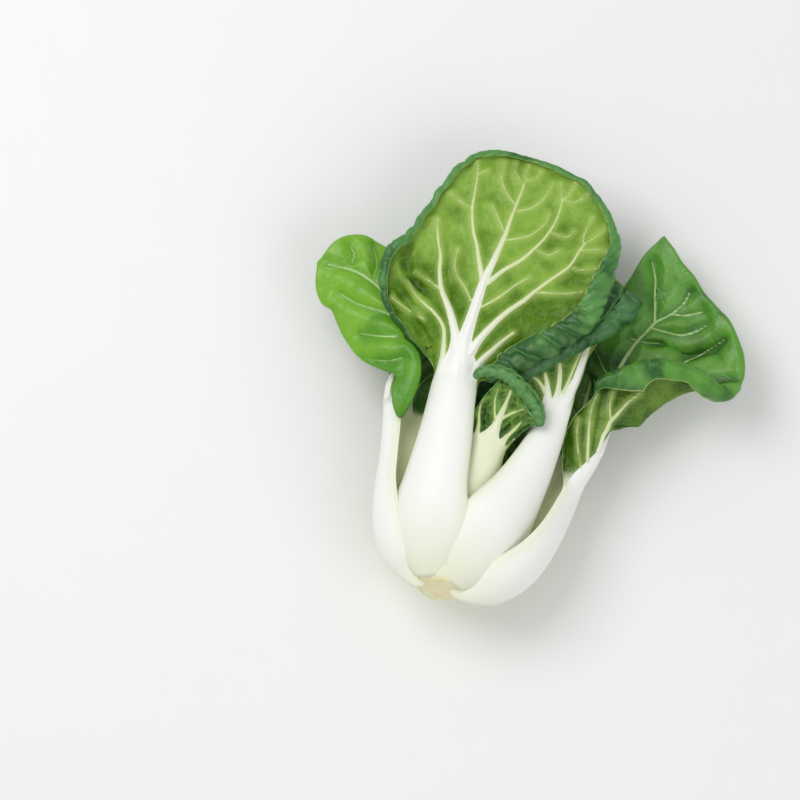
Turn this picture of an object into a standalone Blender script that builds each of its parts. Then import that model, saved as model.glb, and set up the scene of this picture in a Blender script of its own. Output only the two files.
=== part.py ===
"""A head of baby bok choy lying on its back: the trimmed stem butt, seven full leaves and the heart.

Every leaf is one thin solid from its stalk to its tip, because it grew as one piece.  It is
described by rows.  A row starts on the midrib and runs out to the left and to the right margin,
left and right being those of someone who looks at the leaf's outer side with its tip upward.
The head's own frame is in millimetres: x across, y from the cut butt to the leaf tips, z upward.
"""
import math

import bpy
import numpy as np
from mathutils import Vector

MM = 0.001

# The head
HEAD = "bok_choy"
BUTT_CENTRE = (0.0, 0.0, 37.0)
BUTT_RADIUS = 10.5
STEM_LENGTH = 22.0
AXIS_DIP = 12.0          # degrees: the butt end lies higher than the heart
CUT_SLANT = 4.0          # degrees: how far the knife leaned

# The leaves
ARCH = 0.32              # depth of a stalk's arched section, over its half width
MARGIN = 1.5             # thickness of a leaf at its margin
BLADE_RIB = 2.8          # thickness of a blade along its midrib, at its foot
TIP_RIB = 1.7            # the same near the tip
ROWS_PER_STEP = 2        # rows of faces from one described row to the next
ACROSS = 4               # faces from the midrib to a margin
TURNED_SIDES = 24        # faces around the stem butt and the bud

# Colours, roughness
WHITE_STALK = (0.86, 0.88, 0.78)
CUT_TAN = (0.74, 0.66, 0.36)
UNDERSIDE = (0.34, 0.50, 0.12)
UPPER_SIDE = (0.10, 0.27, 0.05)
BRIGHT_SIDE = (0.25, 0.47, 0.07)
HEART = (0.45, 0.56, 0.20)
LEAF_ROUGHNESS = 0.4
CUT_ROUGHNESS = 0.6

# A stalk row is (x, y, z), the way its round side faces in degrees from straight up towards +x,
# its half width and its thickness.  A blade row is its midrib point, its left margin point and its
# right margin point, and may end in how far the middle of the left half hangs off a straight line.
LEAVES = {
    "front_leaf": {
        "colour": UNDERSIDE,
        "stalk": [
            ((-6.0, 7.0, 41.5), -30, 5.5, 3.0),
            ((-10.9, 15.0, 44.5), -28, 11.4, 4.5),
            ((-15.0, 27.0, 50.0), -28, 17.2, 6.5),
            ((-15.9, 45.0, 52.0), -22, 14.6, 7.0),
            ((-16.7, 65.0, 50.5), -14, 12.0, 6.5),
            ((-18.3, 84.0, 48.0), -6, 10.2, 5.5),
        ],
        "blade": [
            ((-18.7, 93.0, 47.0), (-30.0, 93.0, 45.0), (-7.5, 93.0, 47.5)),
            ((-19.0, 101.0, 46.5), (-40.0, 101.0, 44.0), (3.0, 99.5, 49.0)),
            ((-19.2, 109.0, 46.0), (-54.0, 111.0, 45.0), (12.0, 108.5, 51.0)),
            ((-19.2, 118.0, 46.0), (-62.0, 122.0, 46.0), (24.0, 120.0, 52.0)),
            ((-18.8, 128.0, 45.5), (-63.0, 137.0, 46.0), (34.0, 134.0, 52.0)),
            ((-18.0, 139.0, 45.0), (-57.0, 150.0, 45.0), (37.0, 150.0, 51.0)),
            ((-17.2, 149.0, 44.5), (-51.0, 165.0, 44.0), (35.5, 167.0, 49.0)),
            ((-16.4, 158.0, 44.0), (-46.0, 181.0, 42.0), (29.0, 182.0, 46.0)),
            ((-15.8, 165.0, 43.5), (-36.0, 193.5, 40.0), (13.0, 194.5, 42.0)),
            ((-15.4, 170.0, 43.0), (-14.5, 198.5, 38.5), (-14.5, 198.5, 38.5)),
        ],
    },
    "front_right_leaf": {
        "colour": WHITE_STALK,
        "stalk": [
            ((6.6, 7.0, 41.5), 30, 5.5, 3.0),
            ((12.2, 15.0, 44.0), 28, 11.4, 4.5),
            ((16.9, 27.0, 48.0), 30, 16.2, 6.5),
            ((19.6, 38.0, 48.6), 30, 17.2, 7.0),
            ((23.0, 50.0, 47.5), 28, 13.8, 7.0),
            ((25.7, 64.0, 45.5), 22, 10.6, 6.5),
            ((27.8, 79.0, 43.5), 15, 7.6, 5.5),
        ],
        "blade": [
            ((28.8, 92.0, 42.0), (21.5, 91.0, 41.0), (35.0, 92.0, 41.0)),
            ((30.5, 103.0, 40.5), (9.0, 97.0, 40.0), (36.5, 104.0, 40.0)),
            ((32.0, 113.0, 39.5), (6.0, 105.0, 40.0), (38.0, 116.0, 39.0)),
            ((33.5, 122.0, 39.0), (16.0, 121.0, 40.0), (45.0, 129.0, 38.0)),
            ((35.5, 131.0, 38.5), (28.0, 139.0, 39.0), (53.5, 143.5, 37.5)),
            ((38.0, 139.0, 38.0), (44.0, 156.0, 37.5), (44.0, 156.0, 37.5)),
        ],
    },
    "left_outer_leaf": {
        "colour": BRIGHT_SIDE,
        "stalk": [
            ((-13.0, 0.5, 42.5), -38, 6.5, 3.5),
            ((-19.5, 6.0, 44.5), -46, 9.5, 4.5),
            ((-27.8, 13.0, 43.5), -58, 12.0, 5.5),
            ((-34.0, 24.0, 39.0), -75, 13.0, 6.0),
            ((-36.4, 37.0, 34.0), -86, 12.0, 6.0),
            ((-37.8, 50.0, 32.5), -88, 10.5, 5.5),
            ((-40.5, 66.0, 32.5), -85, 7.8, 5.0),
            ((-42.5, 80.0, 34.5), -78, 5.5, 4.5),
        ],
        "blade": [
            ((-43.2, 88.0, 37.5), (-39.0, 88.0, 28.0), (-42.0, 79.0, 41.5)),
            ((-45.0, 98.0, 40.5), (-37.5, 99.0, 25.5), (-51.0, 86.0, 36.0)),
            ((-49.0, 107.0, 42.0), (-40.0, 112.0, 25.5), (-60.5, 88.0, 31.5)),
            ((-55.0, 115.0, 41.5), (-48.0, 124.0, 27.5), (-70.0, 97.0, 29.0)),
            ((-62.0, 121.5, 39.5), (-57.0, 135.0, 31.0), (-77.0, 106.0, 29.0)),
            ((-71.0, 125.5, 37.0), (-71.5, 143.0, 33.0), (-84.0, 110.5, 29.5)),
            ((-80.0, 126.5, 34.5), (-90.5, 124.5, 31.0), (-90.5, 124.5, 31.0)),
        ],
    },
    "right_outer_leaf": {
        "colour": UPPER_SIDE,
        "stalk": [
            ((13.0, 0.5, 43.0), 36, 7.0, 3.5),
            ((19.5, 5.0, 46.0), 44, 11.0, 4.5),
            ((28.5, 11.0, 45.5), 54, 13.5, 5.5),
            ((37.5, 21.0, 41.5), 67, 14.5, 6.5),
            ((42.8, 35.0, 36.0), 79, 13.5, 6.5),
            ((46.0, 53.0, 31.0), 84, 10.5, 5.5),
            ((49.0, 73.0, 30.0), 80, 7.0, 4.5),
            ((51.0, 86.0, 29.0), 68, 5.0, 3.5),
        ],
        "blade": [
            ((51.0, 92.0, 27.5), (46.5, 88.5, 34.5), (47.0, 94.0, 20.0), (0, 0, 0)),
            ((51.0, 96.0, 26.0), (39.5, 89.5, 37.0), (43.5, 101.0, 17.5), (2, -2, 2)),
            ((50.4, 101.0, 24.5), (43.0, 100.0, 40.5), (40.0, 110.0, 16.5), (7, -7, 1)),
            ((49.6, 106.0, 23.0), (51.0, 113.5, 42.5), (37.5, 119.0, 15.5), (11, -13, 0)),
            ((49.4, 112.0, 22.0), (66.0, 122.0, 43.0), (36.5, 132.0, 15.5), (11.5, -13.5, -3)),
            ((50.0, 118.0, 21.0), (85.0, 124.0, 42.5), (37.5, 145.0, 16.5), (8.5, -11, -6)),
            ((51.5, 124.0, 20.5), (104.0, 118.0, 38.0), (41.5, 156.0, 18.5), (2, -4, -6)),
            ((53.5, 131.0, 20.5), (107.0, 136.0, 31.0), (44.5, 167.0, 20.5), (0, 0, -4)),
            ((55.5, 139.0, 21.0), (95.0, 154.0, 28.0), (47.5, 176.0, 21.5), (0, 0, -2)),
            ((57.0, 148.0, 21.5), (77.0, 169.0, 25.5), (51.0, 183.5, 22.0), (0, 0, -1)),
            ((57.0, 158.0, 22.0), (54.5, 188.0, 22.5), (54.5, 188.0, 22.5), (0, 0, 0)),
        ],
    },
    "back_left_leaf": {
        "colour": UPPER_SIDE,
        "stalk": [
            ((-8.5, 6.0, 31.0), -118, 5.0, 3.0),
            ((-17.0, 15.0, 26.5), -118, 8.5, 4.5),
            ((-23.5, 30.0, 21.5), -120, 10.5, 5.5),
            ((-28.5, 50.0, 20.0), -125, 8.5, 5.0),
            ((-32.5, 70.0, 18.5), -138, 6.0, 4.5),
        ],
        "blade": [
            ((-35.5, 86.0, 17.5), (-30.0, 86.0, 16.5), (-41.5, 86.0, 19.5)),
            ((-37.5, 99.0, 16.5), (-19.0, 102.0, 14.5), (-51.0, 98.0, 20.0)),
            ((-39.0, 112.0, 15.5), (-10.0, 121.0, 14.0), (-56.0, 113.0, 20.0)),
            ((-39.5, 125.0, 14.5), (-10.0, 141.0, 14.0), (-56.0, 131.0, 19.0)),
            ((-39.5, 137.0, 13.5), (-19.0, 157.0, 13.5), (-50.0, 149.0, 16.0)),
            ((-39.0, 147.0, 13.0), (-37.0, 164.0, 12.5), (-37.0, 164.0, 12.5)),
        ],
    },
    "back_right_leaf": {
        "colour": UPPER_SIDE,
        "stalk": [
            ((8.5, 6.0, 31.0), 118, 5.0, 3.0),
            ((17.5, 15.0, 26.0), 118, 8.5, 4.5),
            ((25.0, 30.0, 20.5), 120, 10.5, 5.5),
            ((32.0, 50.0, 17.5), 126, 8.5, 5.0),
            ((37.0, 70.0, 14.5), 140, 6.0, 4.5),
        ],
        "blade": [
            ((39.0, 86.0, 12.0), (45.0, 86.0, 11.0), (33.0, 86.0, 10.5)),
            ((40.0, 98.0, 10.0), (58.0, 100.0, 9.5), (20.0, 100.0, 9.5)),
            ((40.0, 110.0, 9.0), (65.0, 117.0, 9.5), (13.0, 117.0, 9.5)),
            ((39.5, 122.0, 8.5), (64.0, 135.0, 9.5), (13.0, 135.0, 9.5)),
            ((38.5, 133.0, 8.5), (55.0, 151.0, 9.5), (22.0, 151.0, 9.5)),
            ((37.5, 143.0, 8.5), (37.0, 161.0, 9.0), (37.0, 161.0, 9.0)),
        ],
    },
    "back_leaf": {
        "colour": UPPER_SIDE,
        "stalk": [
            ((0.0, -1.5, 23.5), 180, 7.0, 4.0),
            ((0.0, 6.0, 13.5), 180, 12.0, 5.5),
            ((0.0, 22.0, 3.6), 180, 15.0, 6.5),
            ((-1.0, 45.0, 3.2), 180, 12.0, 6.0),
            ((-3.0, 68.0, 2.8), 180, 9.0, 5.0),
        ],
        "blade": [
            ((-5.0, 88.0, 2.3), (2.5, 88.0, 3.5), (-12.5, 88.0, 3.5)),
            ((-6.5, 102.0, 2.0), (19.0, 102.0, 4.0), (-32.0, 102.0, 4.0)),
            ((-7.5, 117.0, 1.8), (31.0, 120.0, 4.5), (-46.0, 120.0, 4.5)),
            ((-8.5, 132.0, 1.8), (33.0, 140.0, 4.5), (-50.0, 140.0, 4.5)),
            ((-9.5, 146.0, 1.8), (25.0, 160.0, 4.5), (-44.0, 160.0, 4.5)),
            ((-10.0, 158.0, 1.8), (-10.0, 178.0, 3.0), (-10.0, 178.0, 3.0)),
        ],
    },
    "heart_leaf_front": {
        "colour": HEART,
        "stalk": [
            ((0.5, 17.0, 42.0), 0, 4.0, 3.0),
            ((1.0, 27.0, 45.0), 0, 7.5, 4.0),
            ((1.5, 42.0, 45.5), 0, 8.5, 4.5),
            ((2.0, 57.0, 45.0), 0, 7.5, 4.0),
        ],
        "blade": [
            ((2.5, 68.0, 45.0), (-5.0, 68.0, 44.0), (10.5, 67.0, 44.0)),
            ((3.5, 77.0, 46.5), (-6.0, 78.0, 46.0), (16.0, 75.0, 46.0)),
            ((4.5, 84.0, 49.0), (-6.5, 87.0, 51.5), (18.5, 81.0, 51.0)),
            ((5.2, 89.0, 52.0), (-8.0, 95.0, 56.0), (20.0, 88.0, 56.0)),
            ((5.5, 93.0, 54.0), (4.5, 99.5, 57.0), (4.5, 99.5, 57.0)),
        ],
    },
    "heart_leaf_left": {
        "colour": HEART,
        "stalk": [
            ((-6.5, 18.0, 33.5), -95, 4.0, 2.8),
            ((-12.0, 30.0, 32.5), -95, 7.0, 4.0),
            ((-13.0, 50.0, 32.5), -92, 6.5, 4.0),
            ((-13.5, 66.0, 33.0), -85, 5.0, 3.5),
        ],
        "blade": [
            ((-14.5, 78.0, 33.5), (-13.5, 78.0, 27.0), (-11.5, 78.0, 39.0)),
            ((-15.5, 90.0, 34.0), (-12.0, 92.0, 23.5), (-8.0, 91.0, 40.5)),
            ((-16.0, 101.0, 34.0), (-11.0, 107.0, 23.5), (-6.0, 105.0, 40.0)),
            ((-15.5, 111.0, 34.0), (-12.0, 127.0, 32.0), (-12.0, 127.0, 32.0)),
        ],
    },
    "heart_leaf_right": {
        "colour": HEART,
        "stalk": [
            ((7.5, 18.0, 33.5), 95, 4.0, 2.8),
            ((13.5, 30.0, 31.5), 95, 6.5, 4.0),
            ((16.5, 50.0, 30.5), 92, 6.0, 4.0),
            ((18.5, 66.0, 30.5), 85, 5.0, 3.5),
        ],
        "blade": [
            ((19.5, 78.0, 30.5), (17.0, 78.0, 35.5), (18.0, 78.0, 25.0)),
            ((20.0, 90.0, 30.0), (14.5, 91.0, 36.0), (17.0, 92.0, 21.5)),
            ((19.5, 101.0, 29.5), (12.0, 104.0, 35.5), (14.0, 106.0, 21.0)),
            ((18.0, 111.0, 29.0), (13.0, 126.0, 28.0), (13.0, 126.0, 28.0)),
        ],
    },
    "heart_leaf_back": {
        "colour": HEART,
        "stalk": [
            ((0.5, 17.0, 26.0), 180, 4.0, 2.8),
            ((0.5, 28.0, 20.5), 180, 7.5, 4.0),
            ((0.5, 48.0, 18.5), 180, 7.5, 4.0),
            ((0.5, 66.0, 18.0), 180, 6.0, 3.5),
        ],
        "blade": [
            ((1.0, 78.0, 18.0), (7.5, 78.0, 19.5), (-6.0, 78.0, 19.5)),
            ((1.5, 91.0, 18.0), (12.0, 93.0, 19.0), (-8.0, 93.0, 19.5)),
            ((2.0, 104.0, 18.0), (10.5, 109.0, 18.5), (-5.5, 109.0, 19.0)),
            ((2.5, 115.0, 18.0), (3.0, 131.0, 18.0), (3.0, 131.0, 18.0)),
        ],
    },
}

# The heart's bud, a spindle: (distance along it, radius)
BUD_FOOT = (0.7, 26.0, 32.0)
BUD_PROFILE = [(0.0, 2.6), (5.0, 4.6), (16.0, 6.4), (30.0, 6.0), (42.0, 3.6), (48.0, 1.2)]

# The stem butt: (distance from the cut over its length, radius over that of the cut)
STEM_PROFILE = [(0.0, 1.0), (0.12, 0.93), (0.3, 0.6), (0.6, 0.45), (0.85, 0.3), (1.0, 0.12)]


def clear_scene():
    """Remove what the file already holds."""
    for old in list(bpy.data.objects):
        bpy.data.objects.remove(old, do_unlink=True)


def material(name, colour, roughness):
    """A plain surface of one colour."""
    made = bpy.data.materials.new(name)
    made.use_nodes = True
    shader = made.node_tree.nodes["Principled BSDF"]
    shader.inputs["Base Color"].default_value = (*colour, 1.0)
    shader.inputs["Roughness"].default_value = roughness
    shader.inputs["Metallic"].default_value = 0.0
    return made


def unit(vector):
    """The vector made one long."""
    return vector / np.linalg.norm(vector)


def stalk_row(before, after, middle, facing, half_width, thickness):
    """A stalk's section, square to the way from the point before it to the point after it.

    It is an arch whose round side faces outward.
    """
    along = unit(np.subtract(after, before))
    angle = math.radians(facing)
    outward = np.array((math.sin(angle), 0.0, math.cos(angle)))
    outward = unit(outward - outward @ along * along)
    drop = ARCH * half_width * outward
    side = half_width * np.cross(along, outward)
    middle = np.array(middle)
    return [middle, middle - side - drop, middle + side - drop, drop / 4, drop / 4], thickness


def blade_row(share, middle, left, right, left_hang=(0, 0, 0)):
    """A blade's row, share being how far up the blade it is, from 0 to 1."""
    thickness = BLADE_RIB + (TIP_RIB - BLADE_RIB) * share
    return [np.array(part, dtype=float) for part in (middle, left, right, left_hang, (0, 0, 0))], thickness


def smooth_through(values, steps):
    """Catmull-Rom curve through the values, with the given number of steps between two of them."""
    values = np.array(values, dtype=float)
    padded = np.concatenate([2 * values[:1] - values[1:2], values, 2 * values[-1:] - values[-2:-1]])
    curve = []
    for before, start, end, after in zip(padded, padded[1:], padded[2:], padded[3:]):
        for step in range(steps):
            t = step / steps
            curve.append(
                start
                + (end - before) * t / 2
                + (2 * before - 5 * start + 4 * end - after) * t**2 / 2
                + (3 * start - before - 3 * end + after) * t**3 / 2
            )
    curve.append(values[-1])
    return np.array(curve)


def leaf_grid(leaf):
    """The leaf's points, row by row from margin to margin, and its thickness at each of them."""
    midrib = [row[0] for row in leaf["stalk"]] + [leaf["blade"][0][0]]
    rows = [
        stalk_row(midrib[max(index - 1, 0)], midrib[index + 1], *row)
        for index, row in enumerate(leaf["stalk"])
    ]
    last = len(leaf["blade"]) - 1
    rows += [blade_row(index / last, *row) for index, row in enumerate(leaf["blade"])]
    frames = smooth_through([row[0] for row in rows], ROWS_PER_STEP)
    ribs = smooth_through([row[1] for row in rows], ROWS_PER_STEP)
    out = np.linspace(0.0, 1.0, ACROSS + 1)[:, None]
    points, thicknesses = [], []
    for (middle, left, right, left_hang, right_hang), rib in zip(frames, ribs):
        left_half = middle + out * (left - middle) + 4 * out * (1 - out) * left_hang
        right_half = middle + out * (right - middle) + 4 * out * (1 - out) * right_hang
        points.append(np.concatenate([left_half[::-1], right_half[1:]]))
        profile = MARGIN + (rib - MARGIN) * (1 - out[:, 0] ** 2)
        thicknesses.append(np.concatenate([profile[::-1], profile[1:]]))
    return np.array(points), np.array(thicknesses)


def sheet_mesh(name, points):
    """An open sheet over a grid of points, whose last row folds together on the midrib's end."""
    rows, columns = points.shape[:2]
    centre = columns // 2
    numbers = np.arange(rows * columns).reshape(rows, columns)
    numbers[-1, centre + 1:] = numbers[-1, :centre][::-1]
    faces = [
        (numbers[row, column], numbers[row, column + 1],
         numbers[row + 1, column + 1], numbers[row + 1, column])
        for row in range(rows - 1)
        for column in range(columns - 1)
    ]
    mesh = bpy.data.meshes.new(name)
    kept = rows * columns - centre
    mesh.from_pydata([Vector(point) * MM for point in points.reshape(-1, 3)[:kept]], [], faces)
    mesh.shade_smooth()
    return mesh


def add_leaf(name, leaf, collection):
    """One leaf: an open sheet that Solidify thickens, most along the stalk and the midrib."""
    points, thicknesses = leaf_grid(leaf)
    body = bpy.data.objects.new(name, sheet_mesh(name, points))
    collection.objects.link(body)
    group = body.vertex_groups.new(name="thickness")
    thickest = thicknesses.max()
    for index, thickness in enumerate(thicknesses.ravel()[:len(body.data.vertices)]):
        group.add([index], thickness / thickest, "REPLACE")
    solid = body.modifiers.new("thickness", "SOLIDIFY")
    solid.thickness = thickest * MM
    solid.offset = 0.0
    solid.vertex_group = group.name
    body.data.materials.append(material(name, leaf["colour"], LEAF_ROUGHNESS))
    return body


def add_turned(name, profile, foot, tilt, slant, colour, roughness, collection):
    """A solid of revolution about +Y, from (distance, radius) pairs, with its foot cut at a slant."""
    outline = bpy.data.meshes.new(name)
    points = [(0.0, 0.0)] + list(profile) + [(profile[-1][0], 0.0)]
    corners = [Vector((radius, along, 0.0)) * MM for along, radius in points]
    outline.from_pydata(corners, [(i, i + 1) for i in range(len(corners) - 1)], [])
    body = bpy.data.objects.new(name, outline)
    collection.objects.link(body)
    turn = body.modifiers.new("turn", "SCREW")
    turn.axis = "Y"
    turn.angle = math.tau
    turn.steps = TURNED_SIDES
    turn.render_steps = TURNED_SIDES
    turn.use_merge_vertices = True
    turn.merge_threshold = 0.00001
    turn.use_normal_flip = True
    body.location = Vector(foot) * MM
    body.rotation_euler = (-math.radians(tilt + slant), 0.0, 0.0)
    body.data.materials.append(material(name, colour, roughness))
    return body


def rest_on_origin(parts, carrier):
    """Move the head so that the middle of its underside is the origin."""
    bpy.context.view_layer.update()
    graph = bpy.context.evaluated_depsgraph_get()
    corners = []
    for part in parts:
        shown = part.evaluated_get(graph)
        corners += [shown.matrix_world @ vertex.co for vertex in shown.data.vertices]
    low = Vector(map(min, zip(*corners)))
    high = Vector(map(max, zip(*corners)))
    carrier.location = (-(low.x + high.x) / 2, -(low.y + high.y) / 2, -low.z)


def build():
    """Make every part and set the head down."""
    clear_scene()
    collection = bpy.data.collections.new(HEAD)
    bpy.context.scene.collection.children.link(collection)
    carrier = bpy.data.objects.new(HEAD + "_carrier", None)
    collection.objects.link(carrier)
    stem = [(STEM_LENGTH * along, BUTT_RADIUS * radius) for along, radius in STEM_PROFILE]
    parts = [
        add_turned("stem_butt", stem, BUTT_CENTRE, AXIS_DIP, CUT_SLANT, CUT_TAN, CUT_ROUGHNESS, collection),
        add_turned("heart_bud", BUD_PROFILE, BUD_FOOT, 0.0, 0.0, HEART, LEAF_ROUGHNESS, collection),
    ]
    parts += [add_leaf(name, leaf, collection) for name, leaf in LEAVES.items()]
    for part in parts:
        part.parent = carrier
    rest_on_origin(parts, carrier)


build()
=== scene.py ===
"""A head of baby bok choy lying on its back: leaves with veins, rolled margins and white stalks.

Shapes are worked out in the head's own frame, in millimetres: x across, y from the cut butt to the
leaf tips, z up from the surface it lies on.  Left and right of a leaf are those of someone who looks
at its outer side with its tip upward.  Its outer side is its underside.
"""

import math
from itertools import product

import bpy
import numpy as np
from mathutils import Matrix, Vector, kdtree


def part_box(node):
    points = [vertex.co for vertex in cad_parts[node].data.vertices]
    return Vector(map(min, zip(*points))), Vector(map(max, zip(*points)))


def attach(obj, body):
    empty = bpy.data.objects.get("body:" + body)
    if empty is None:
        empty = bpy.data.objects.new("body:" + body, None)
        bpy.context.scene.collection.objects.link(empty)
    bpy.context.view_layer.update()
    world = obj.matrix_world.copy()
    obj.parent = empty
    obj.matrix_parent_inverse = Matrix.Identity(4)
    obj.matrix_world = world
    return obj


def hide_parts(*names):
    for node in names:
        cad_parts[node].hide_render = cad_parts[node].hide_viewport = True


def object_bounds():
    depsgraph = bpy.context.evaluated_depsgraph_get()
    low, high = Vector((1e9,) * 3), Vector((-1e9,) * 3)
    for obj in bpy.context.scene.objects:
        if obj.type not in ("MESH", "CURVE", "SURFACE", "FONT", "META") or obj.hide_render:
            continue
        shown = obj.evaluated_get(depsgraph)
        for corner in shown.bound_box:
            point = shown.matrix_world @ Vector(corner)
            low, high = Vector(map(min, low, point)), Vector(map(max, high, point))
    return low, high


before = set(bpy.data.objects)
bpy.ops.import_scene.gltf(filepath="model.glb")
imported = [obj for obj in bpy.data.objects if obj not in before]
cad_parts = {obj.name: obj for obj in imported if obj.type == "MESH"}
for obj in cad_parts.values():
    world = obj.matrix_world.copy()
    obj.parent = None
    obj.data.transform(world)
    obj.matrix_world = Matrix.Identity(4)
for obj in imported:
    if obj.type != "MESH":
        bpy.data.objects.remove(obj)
CAD_LOW, CAD_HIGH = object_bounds()
MM = 0.001

# The head's frame: the middle of the cut butt is at (0, 0, CUT_HEIGHT)
STEM_LOW, STEM_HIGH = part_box("stem_butt")
CUT_RADIUS = (STEM_HIGH[0] - STEM_LOW[0]) / 2 / MM
CUT_LEAN = math.radians(16.0)
CUT_HEIGHT = 37.0
HEAD_ORIGIN = np.array((
    (STEM_LOW[0] + STEM_HIGH[0]) / 2,
    STEM_LOW[1] + CUT_RADIUS * math.sin(CUT_LEAN) * MM,
    STEM_HIGH[2] - (CUT_RADIUS * math.cos(CUT_LEAN) + CUT_HEIGHT) * MM,
))

# The camera looks down at the head, which lies askew in the picture
ELEVATION = math.radians(80.0)
ROLL = math.radians(16.8)
LENS = 300.0
SENSOR = 36.0
VIEW_WIDTH = 1.773 * (CAD_HIGH[0] - CAD_LOW[0])
AIM_ACROSS = -0.112     # the picture's middle from the middle of the cut, over VIEW_WIDTH
AIM_UP = 0.2105

# The leaves' surfaces
ARCH = 0.32             # depth of a stalk's arched section, over its half width
LAMINA = 0.7            # thickness of a blade between its veins
STALK_EDGE = 1.6        # thickness of a stalk at its margin
BASE_THICKNESS = 3.0    # thickness of a stalk where its blade begins
STALK_STEPS = 5         # rows of faces from one described stalk row to the next
BLADE_START = (-0.6, 0.8)   # rows from the blade's first one, between which a stalk becomes a blade
FINER_WAVES = 2.3       # how much smaller the second waves are than the large ones
FINER_HEIGHT = 0.35     # how high they are, over the large ones
FOLD_STEPS = 60         # points along a fold
VEIN_STEP = 0.7         # from one point of a vein to the next
VEIN_ROUNDING = 0.22    # keeps the finest veins whole between the points of a surface
RIB_HEIGHT = 0.55       # how far a vein stands out, over its half width
TALLEST_RIB = 2.0       # the most that one does
FAR = 3.0               # the longest distance from a vein that matters
ROLL_COLUMNS = 20       # columns of faces in a rolled margin
ROLL_TIGHTENING = 0.3   # how much of its radius a roll loses by its end
ROLL_THINNING = 0.6     # how much of its thickness a blade loses by a roll's end
CROSS_SPACING = 8.0     # from one vein that crosses a rolled margin to the next
CROSS_SLANT = 0.35      # how far such a vein runs on for each millimetre across
CROSS_WANDER = 3.4      # how far it strays
CROSS_GROOVE = 1.3      # half width of the groove along it
PLUMP_RADIUS = 4.5      # a roll this wide swells fully between those veins
CUSHION_RIM = 0.45      # how far from its border a cushion is at its full height, over its size
CUSHION_REACH = 2.0     # the same from a large vein
PANEL_REACH = 5.0       # how far from the large veins the swell between them is full
LUMP_SIZE = 4.5         # size of the small lumps
LUMP_REACH = 3.0        # how far from the large veins they are at their full height
CURL_COLUMNS = 110      # points across a margin curled into a tube
CURL_STEP = 0.5         # from one row of them to the next
CURL_SPACING = 1.8      # from one vein that crosses a curl to the next, over the curl's radius
CURL_SWELL = 0.13       # how far it swells between them, over its radius
CURL_CUSHION = 0.07     # height of its cushions, over its radius
CURL_LUMP = 0.08        # height of its small lumps, over its radius
HOLLOW_DEPTH = 0.8      # what counts as a full hollow
HOLLOW_REACH = 7        # how many rows and columns around count as its surroundings
HOLLOW_LIMITS = (-1.7, 3.0)     # the highest ridge and the deepest hollow that count
NOISE_VALUES = 4096     # how many random values a noise draws
NOISE_STRIDES = (1, 59, 1777)   # how far apart in their list neighbouring places read them
SHADED_BY = ("vein", "broad", "net", "hollow", "stalk", "edge", "along")


# ---------------------------------------------------------------- mathematics

def unit(vectors):
    """Each vector made one long."""
    return vectors / np.maximum(np.linalg.norm(vectors, axis=-1, keepdims=True), 1e-9)


def smoothstep(low, high, value):
    """0 up to low, 1 from high, and a smooth rise between them."""
    share = np.clip((value - low) / (high - low), 0.0, 1.0)
    return share * share * (3 - 2 * share)


def spline(values, at):
    """Catmull-Rom curve through the values, read at fractional places in their list."""
    values = np.array(values, dtype=float)
    padded = np.concatenate([2 * values[:1] - values[1:2], values, 2 * values[-1:] - values[-2:-1]])
    first = np.minimum(at.astype(int), len(values) - 2)
    t = (at - first).reshape((-1,) + (1,) * (values.ndim - 1))
    before, start, end, after = (padded[first + place] for place in range(4))
    return (
        start
        + (end - before) * t / 2
        + (2 * before - 5 * start + 4 * end - after) * t**2 / 2
        + (3 * start - before - 3 * end + after) * t**3 / 2
    )


def sampled(values, count):
    """The curve through the values, read at evenly spaced places in their list."""
    return spline(values, np.linspace(0, len(values) - 1, count))


def curve(knots, step):
    """The curve through knots that begin with a place, in steps of about the given length."""
    length = np.linalg.norm(np.diff(knots[:, :3], axis=0), axis=1).sum()
    return sampled(knots, max(int(length / step), 4))


def run_along(points, axis):
    """How far every point lies from the first one of its row or column."""
    steps = np.diff(points, axis=axis, prepend=points.take([0], axis=axis))
    return np.linalg.norm(steps, axis=-1).cumsum(axis=axis)


def noise(points, size, seed):
    """Smooth noise from about -1 to 1, whose lumps are about the given size."""
    table = np.random.default_rng(seed).uniform(-1.0, 1.0, NOISE_VALUES)
    place = points / size
    cell = np.floor(place).astype(int)
    share = smoothstep(0.0, 1.0, place - cell)
    total = np.zeros(points.shape[:-1])
    for corner in product((0, 1), repeat=3):
        key = (cell + corner) @ np.array(NOISE_STRIDES)
        weight = np.where(np.array(corner) == 1, share, 1 - share).prod(axis=-1)
        total += table[key % NOISE_VALUES] * weight
    return total


def tree_of(points):
    """A tree that finds the nearest of the points."""
    tree = kdtree.KDTree(len(points))
    for index, point in enumerate(points):
        tree.insert(point, index)
    tree.balance()
    return tree


def cells(points, size, seed):
    """How far each point is from the border between two cells of the given size, over that size.

    The cells are those of seeds scattered over the points.
    """
    flat = points.reshape(-1, 3)
    seeds = {}
    for index in np.random.default_rng(seed).permutation(len(flat)):
        cube = tuple(np.floor(flat[index] / size).astype(int))
        seeds.setdefault(cube, flat[index])
    tree = tree_of(seeds.values())
    gap = []
    for point in flat:
        near, next_near = tree.find_n(point, 2)
        gap.append(next_near[2] - near[2])
    return np.array(gap).reshape(points.shape[:-1]) / size


# ---------------------------------------------------------------- a leaf without its veins

def stalk_frame(before, after, middle, facing, half_width):
    """A stalk's arched section: its middle, its margins and how far its halves bulge.

    A half that bulges by a quarter of the margin's drop makes the section a parabola.
    """
    along = unit(np.subtract(after, before))
    angle = math.radians(facing)
    outward = np.array((math.sin(angle), 0.0, math.cos(angle)))
    outward = unit(outward - outward @ along * along)
    drop = ARCH * half_width * outward
    side = half_width * np.cross(along, outward)
    middle = np.array(middle)
    return [middle, middle - side - drop, middle + side - drop, drop / 4, drop / 4]


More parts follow.
